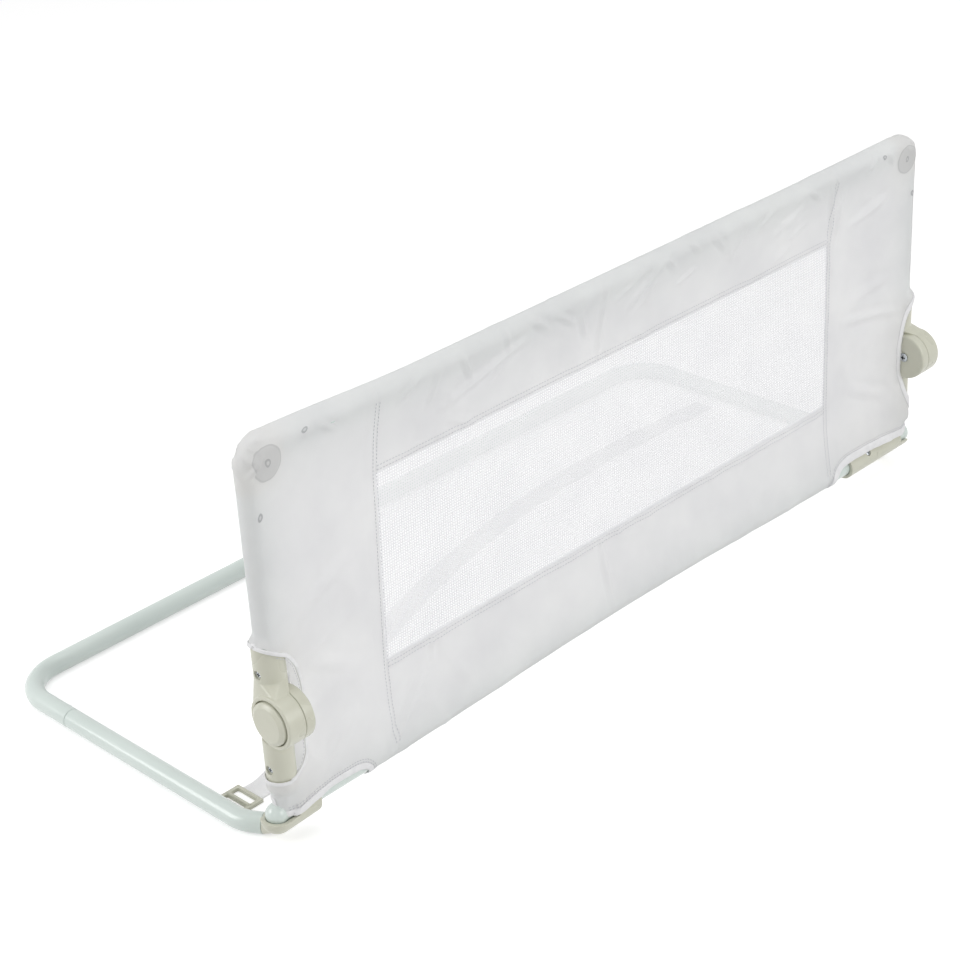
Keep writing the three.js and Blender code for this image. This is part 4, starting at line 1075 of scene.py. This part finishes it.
def cloth_relief(x, z, layer):
    """Seams, hems, creases, folds at the corners and rivets, as height over the drawn skin."""
    height = np.zeros_like(x)
    for side in SIDES:
        off = side * x - SEAM_X
        allowance, ditch = smooth_step(-np.abs(off - 5), -6, -4.5), np.exp(-(off / 0.8) ** 2)
        height += SEAM_RISE * allowance - DITCH_DEPTH * ditch
    within = np.abs(x) < SEAM_X
    for z0, sign in ((WINDOW_TOP, 1), (WINDOW_BOTTOM, -1)):
        off = sign * (z - z0)
        height += np.where(within & (off >= 0), HEM_RISE * smooth_step(-off, -9, -7.5), 0)
    for x0, z0, x1, z1, width, rise in CREASES:
        if layer == BACK:
            x0, x1 = -x0, -x1
        run = np.array([x1 - x0, z1 - z0])
        share = np.clip(((x - x0) * run[0] + (z - z0) * run[1]) / (run @ run), 0, 1)
        off = np.hypot(x - x0 - share * run[0], z - z0 - share * run[1])
        width = CREASE_WIDTH * width
        fade = np.sin(np.pi * np.clip(share, 0.04, 0.96)) ** 0.7
        ridge, hollow = np.exp(-(off / width) ** 2), np.exp(-((off - 2 * width) / width) ** 2)
        height += CREASE_RISE * rise * fade * (ridge - 0.45 * hollow)
    ridged = (1 - np.abs(soft_noise(x + 0.5 * z, z - 0.3 * x, 46, layer + 5))) ** 3
    free = 1 - 0.6 * np.exp(-((np.abs(x) - SEAM_X) / 12) ** 2)
    height += free * (WRINKLE_RISE * ridged * smooth_step(soft_noise(x, z, 70, layer + 9), -0.4, 0.5)
                      + RIPPLE_RISE * soft_noise(x, z, 13, layer + 21))
    corner, plate = away_from(CORNER_FOLDS, x, z), away_from(PLATE, x, z)
    around = np.arctan2(z - CORNER_FOLDS[1], np.abs(x) - CORNER_FOLDS[0])
    folds = np.sin(around * 11 + np.sin(corner / 5)) * np.exp(-(corner / 19) ** 2)
    height += FOLD_RISE * folds * smooth_step(plate, 13.5, 18)
    height += PLATE_RISE * smooth_step(-plate, -15.4, -13.6)
    for rivet in RIVETS:
        height += RIVET_RISE * smooth_step(-away_from(rivet, x, z), -4.2, -2.8)
    return height


def cloth_depth(x, z, layer):
    """Distance of the front or back cloth from mid depth."""
    out, radius = outside_by(x, z)
    wrapped = np.sqrt(np.maximum(radius ** 2 - np.maximum(out, 0) ** 2, 0))
    relief = cloth_relief(x, z, layer)
    tight = np.clip(wrapped / radius, 0, 1)
    return np.where(out > 0, wrapped + relief * tight, skin_depth(x, z) + relief)


def grid_lines():
    """Columns and rows of the cover's grid, close together round the tubes, seams and window edges."""
    round_tube = [0.0, 2.0, 4.0, 6.0, 8.0, 10.0, 12.5, 15.0]
    half = sorted({SEAM_X + d for d in (-6, -4, -2, -1, 0, 1, 2, 4, 5.5, 7, 9.5)}
                  | set(np.arange(0, SEAM_X - 8, 2.5)) | set(np.arange(SEAM_X + 12, HALF_SPAN - 17, 2.2))
                  | {HALF_SPAN - d for d in round_tube})
    columns = np.array(sorted({-x for x in half} | set(half)))
    rows = sorted(set(round_tube) | set(np.arange(17, WINDOW_BOTTOM - 10, 2.2))
                  | {WINDOW_BOTTOM + d for d in (-9, -7.5, -6, -3, 0)}
                  | set(np.arange(WINDOW_BOTTOM + 2.9, WINDOW_TOP - 1, 2.9))
                  | {WINDOW_TOP + d for d in (0, 3, 6, 7.5, 9)}
                  | set(np.arange(WINDOW_TOP + 11, PANEL_HEIGHT - 16, 2.0))
                  | {PANEL_HEIGHT - d for d in round_tube})
    return columns, np.array(rows)


WRAP_STEPS = [math.radians(a) for a in (13, 26, 39, 51, 63, 74, 83, 90)]


def in_plane_grid():
    """Grid points of one cloth as x and z, out to the silhouette, with round top corners."""
    columns, rows = grid_lines()
    wraps = np.sin(WRAP_STEPS)
    cx = np.concatenate([np.full(len(wraps), -HALF_SPAN), columns, np.full(len(wraps), HALF_SPAN)])
    wx = np.concatenate([wraps[::-1], np.zeros(len(columns)), wraps])
    rz = np.concatenate([np.zeros(len(wraps)), rows, np.full(len(wraps), PANEL_HEIGHT)])
    wz = np.concatenate([-wraps[::-1], np.zeros(len(rows)), wraps])
    x, z = np.meshgrid(cx, rz)
    out_x, out_z = np.meshgrid(wx, wz)
    z = z + bow(x) * np.clip(1 - z / WINDOW_BOTTOM, 0, 1)
    z = z + np.where(out_z < 0, out_z * bottom_cloth(x), out_z * CLOTH_RADIUS)
    x = x + np.sign(x) * out_x * upright_cloth(x, z)
    p, q, corner = past_corner(x, z)
    shrink = np.where(corner, np.maximum(p, q) / np.maximum(np.hypot(p, q), 1e-9), 1)
    x = np.where(corner, np.sign(x) * (HALF_SPAN - CORNER_RADIUS + p * shrink), x)
    z = np.where(corner, PANEL_HEIGHT - CORNER_RADIUS + q * shrink, z)
    return x, z


def grid_quads(x):
    """The faces between the points of a grid."""
    index = np.arange(x.size).reshape(x.shape)
    return np.stack([index[:-1, :-1], index[:-1, 1:], index[1:, 1:], index[1:, :-1]], -1)


def inside_polygon(x, z, polygon):
    """Which points lie in a polygon, by the number of its sides to the right of each."""
    inside = np.zeros(np.shape(x), bool)
    for (x0, z0), (x1, z1) in zip(polygon, polygon[1:] + polygon[:1]):
        crosses = (z0 > z) != (z1 > z)
        inside ^= crosses & (x < (x1 - x0) * (z - z0) / ((z1 - z0) or 1e-9) + x0)
    return inside


def cut_away(side, layer):
    """The polygons that are cut out of one cloth at one end."""
    hinge = HINGE_EDGE[side] + [(480, HINGE_EDGE[side][-1][1]), (480, HINGE_EDGE[side][0][1])]
    hem = HEM[layer][side]
    corner = hem + [(480, hem[-1][1]), (480, -40), (hem[0][0], -40)]
    return [hinge, corner]


def nearest_on(line, x, z):
    """The nearest point of a polyline, and its distance."""
    best = (1e9, x, z)
    for (x0, z0), (x1, z1) in zip(line, line[1:]):
        run = (x1 - x0) ** 2 + (z1 - z0) ** 2
        share = min(1, max(0, ((x - x0) * (x1 - x0) + (z - z0) * (z1 - z0)) / run))
        px, pz = x0 + share * (x1 - x0), z0 + share * (z1 - z0)
        best = min(best, (math.hypot(px - x, pz - z), px, pz))
    return best


def one_cloth(layer):
    """The front or back cloth as a grid with its cut-outs, its edges drawn onto the cut lines."""
    x, z = in_plane_grid()
    mid_x, mid_z = (x[1:, 1:] + x[:-1, :-1]) / 2, (z[1:, 1:] + z[:-1, :-1]) / 2
    keep = ~((np.abs(mid_x) < SEAM_X) & (mid_z > WINDOW_BOTTOM) & (mid_z < WINDOW_TOP))
    cut = np.zeros_like(keep)
    for side in SIDES:
        for polygon in cut_away(side, layer):
            cut |= inside_polygon(mid_x * side, mid_z, polygon)
    keep &= ~cut
    edge = np.zeros(x.shape, int)
    for dj in (0, 1):
        for di in (0, 1):
            edge[dj:dj + keep.shape[0], di:di + keep.shape[1]] |= np.where(cut, 1, 2)
    for j, i in zip(*np.nonzero(edge == 3)):
        side = 1 if x[j, i] > 0 else -1
        found = min(nearest_on(line, abs(x[j, i]), z[j, i]) for line in (HINGE_EDGE[side], HEM[layer][side]))
        if found[0] < SNAP_WITHIN and abs(x[j, i]) < HALF_SPAN + 9:
            x[j, i], z[j, i] = side * found[1], found[2]
    y = layer * np.maximum(cloth_depth(x, z, layer), 0.0)
    return np.stack([x, y, z], -1).reshape(-1, 3), grid_quads(x)[keep]


def cloth_cover():
    """Front and back cloth, joined round the tubes."""
    front, front_faces = one_cloth(FRONT)
    back, back_faces = one_cloth(BACK)
    verts = np.concatenate([front, back])
    faces = np.concatenate([front_faces, back_faces[:, ::-1] + len(front)])
    used, places = np.unique(faces, return_inverse=True)
    verts, faces = verts[used], places.reshape(faces.shape)
    _, first, again = np.unique(np.round(verts / JOIN_WITHIN).astype(np.int64), axis=0, return_index=True,
                                return_inverse=True)
    verts = verts[first]
    faces = [list(dict.fromkeys(face)) for face in again.reshape(-1)[faces].tolist()]
    solid = verts, [face for face in faces if len(face) > 2]
    x, _, z = verts.T
    out = np.maximum(np.abs(x) - HALF_SPAN, 0) + np.maximum(z - PANEL_HEIGHT, 0)
    uv = np.stack([x + np.sign(x) * out * 0.5, z + out * 0.5], -1)
    nodes = ["cover_top_band", "cover_bottom_band"]
    nodes += [f"{s}_{n}_end_cover" for s in SIDES.values() for n in ("upper", "lower")]
    return finished("cloth_cover", leaned(solid), TAFFETA, ACROSS_FOLD, nodes, sharp=75,
                    uv=uv)


def on_cloth(x, z, layer, lift):
    """Points on the cloth and the cloth's outward directions there."""
    x, z, step = np.asarray(x, float), np.asarray(z, float), 0.4
    y = cloth_depth(x, z, layer)
    inner = x - np.sign(x) * step
    slope_x = (y - cloth_depth(inner, z, layer)) / (x - inner)
    slope_z = (cloth_depth(x, z + step, layer) - cloth_depth(x, z - step, layer)) / (2 * step)
    outward = np.stack([-slope_x, np.full(x.shape, float(layer)), -slope_z], -1)
    outward /= np.linalg.norm(outward, axis=-1)[:, None]
    points = np.stack([x, layer * y, z], -1) + outward * lift
    return [Vector(p) for p in points], [Vector(n) for n in outward]


def softened(line):
    """Evenly spaced points on a polyline of (x, z) points, its corners eased."""
    pitch, rounds = 2.0, 3
    line = np.array(line, float)
    runs = np.concatenate([[0], np.cumsum(np.linalg.norm(np.diff(line, axis=0), axis=1))])
    places = np.linspace(0, runs[-1], max(2, int(runs[-1] / pitch) + 1))
    points = np.stack([np.interp(places, runs, line[:, k]) for k in (0, 1)], -1)
    for _ in range(rounds):
        points[1:-1] = (points[:-2] + 2 * points[1:-1] + points[2:]) / 4
    return points


def edge_loop(side, front_line, back_line, lift):
    """A closed loop on the cloth: along the front edge, round the tube and back along the back edge."""
    points, normals = [], []
    for line, layer in ((front_line, FRONT), (back_line[::-1], BACK)):
        x, z = softened(line).T
        radius = outside_by(x * side, z)[1]
        x = np.minimum(x, HALF_SPAN + radius - 0.05)
        for point, normal in zip(*on_cloth(x * side, z, layer, lift)):
            if not points or (point - points[-1]).length > 0.8:
                points.append(point)
                normals.append(normal)
    return points, normals


def band(points, normals, width, thickness):
    """A soft flat band along a closed line on the cloth."""
    section = [[math.copysign(abs(turn(a)) ** 0.7, turn(a)) / 2 for turn in (math.cos, math.sin)]
               for a in np.linspace(0, 2 * math.pi, 12, endpoint=False)]
    rings = []
    for i, (point, normal) in enumerate(zip(points, normals)):
        heading = (points[(i + 1) % len(points)] - points[i - 1]).normalized()
        wide = heading.cross(normal).normalized()
        rings.append([point + wide * spread * width + normal * rise * thickness for spread, rise in section])
    return lofted(rings, closed=True)


def stitches(points, normals):
    """Short threads along a line on the cloth, coarser than sewing thread, which would not show."""
    pitch, length, thick = 3.4, 2.3, 0.34
    made = []
    runs = np.concatenate([[0], np.cumsum([(b - a).length for a, b in zip(points, points[1:])])])
    for start in np.arange(1.0, runs[-1] - length, pitch):
        i = min(int(np.searchsorted(runs, start)), len(points) - 1)
        heading = (points[i] - points[i - 1]).normalized()
        normal = normals[i]
        wide = heading.cross(normal)
        base = points[i - 1] + heading * (start - runs[i - 1])
        rings = []
        for along, scale, lift in ((0, 0.3, 0), (0.25, 1, 0.35), (0.75, 1, 0.35), (1, 0.3, 0)):
            centre = base + heading * along * length + normal * thick * lift
            rings.append([centre + (wide * a + normal * b) * thick * scale
                          for a, b in ((1, 0), (0, 1), (-1, 0), (0, -1))])
        made.append(lofted(rings))
    return merged(made)


def stitch_line(x0, z0, x1, z1, layer):
    count = int(math.hypot(x1 - x0, z1 - z0) / 3) + 2
    return stitches(*on_cloth(np.linspace(x0, x1, count), np.linspace(z0, z1, count), layer, THREAD_LIFT))


def inset_line(line, by):
    """A line moved sideways, away from the cut."""
    points = softened(line)
    run = np.gradient(points, axis=0)
    run /= np.linalg.norm(run, axis=1)[:, None]
    return points + np.stack([run[:, 1], -run[:, 0]], -1) * by


cover = cloth_cover()
tapes, threads = [], []
for end in SIDES:
    around_hinge = inset_line(HINGE_EDGE[end], -1.7)
    loop = edge_loop(end, around_hinge, around_hinge, TAPE_LIFT)
    tapes.append(band(*loop, HINGE_TAPE[end], TAPE_THICKNESS))
    wide = HEM_TAPE[end]
    hems = [inset_line(HEM[layer][end], 0.6 - wide / 2) for layer in LAYERS]
    tapes.append(band(*edge_loop(end, *hems, HEM_LIFT), wide, HEM_THICKNESS))
    for layer in LAYERS:
        for offset in (-1.8, 2.6):
            x = end * (SEAM_X + offset)
            threads.append(stitch_line(x, 6 + float(bow(x)), x, PANEL_HEIGHT - 2, layer))
        hem = HEM[layer][end]
        for line, by in ((HINGE_EDGE[end], -5.2), (hem, -1.6), (hem, 0.2 - wide), (hem, -2.0 - wide)):
            x, z = inset_line(line, by).T
            kept = x < HALF_SPAN + 6
            threads.append(stitches(*on_cloth(x[kept] * end, z[kept], layer, THREAD_LIFT)))
for layer in LAYERS:
    for z in (WINDOW_TOP + 2.2, WINDOW_TOP + 6.2, WINDOW_BOTTOM - 2.2, WINDOW_BOTTOM - 6.2):
        threads.append(stitch_line(-SEAM_X + 1, z, SEAM_X - 1, z, layer))
edging = finished("cover_edging", leaned(merged(tapes)), TAPE, ACROSS_FOLD, sharp=80)
seams = finished("cover_stitches", leaned(merged(threads)), THREAD, ACROSS_FOLD,
                 sharp=80)


# Mesh window ---------------------------------------------------------------------------------------------

def mesh_window():
    """Knitted mesh: upright threads a little heavier than the cross threads. The real mesh has about half
    this pitch, which would not show in the render."""
    pitch, upright, cross = 2.6, 1.9, 1.6
    xs = np.linspace(-SEAM_X - 1, SEAM_X + 1, int(2 * (SEAM_X + 1) / pitch))
    zs = np.linspace(WINDOW_BOTTOM - 1, WINDOW_TOP + 1, int((WINDOW_TOP - WINDOW_BOTTOM + 2) / pitch))
    columns = np.stack([xs - upright / 2, xs + upright / 2], -1).ravel()
    rows = np.stack([zs - cross / 2, zs + cross / 2], -1).ravel()
    x, z = np.meshgrid(columns, rows)
    i, j = np.meshgrid(np.arange(len(columns)) // 2, np.arange(len(rows)) // 2)
    sag = 0.5 * np.sin(x / 61.0) * np.sin((z - WINDOW_BOTTOM) / (WINDOW_TOP - WINDOW_BOTTOM) * math.pi)
    y = sag + 0.1 * np.where((i + j) % 2, 1.0, -1.0)
    down, along = np.meshgrid(np.arange(len(rows) - 1), np.arange(len(columns) - 1), indexing="ij")
    threads = grid_quads(x)[(along % 2 == 0) | (down % 2 == 0)]
    solid = np.stack([x, y, z], -1).reshape(-1, 3), threads.tolist()
    return finished("mesh_window", leaned(solid), NET, ACROSS_FOLD, ["upper_mesh", "lower_mesh"],
                    sharp=180)


window = mesh_window()


# Pieces of the frame that stay as they are: most are inside the cloth or the drums -----------------------

def dress_frame_nodes():
    """Gives the nodes that still show their slots' finishes."""
    finishes = {slot: finish for finish, _, slot in (COATED, MOULDED, PLATED)}
    for subpart in frame["record"]["subparts"]:
        node = frame["nodes"][subpart["node"]]
        finish = finishes.get(subpart["material_slot"])
        if finish and not node.hide_render:
            node.data.materials.clear()
            node.data.materials.append(finish)


dress_frame_nodes()
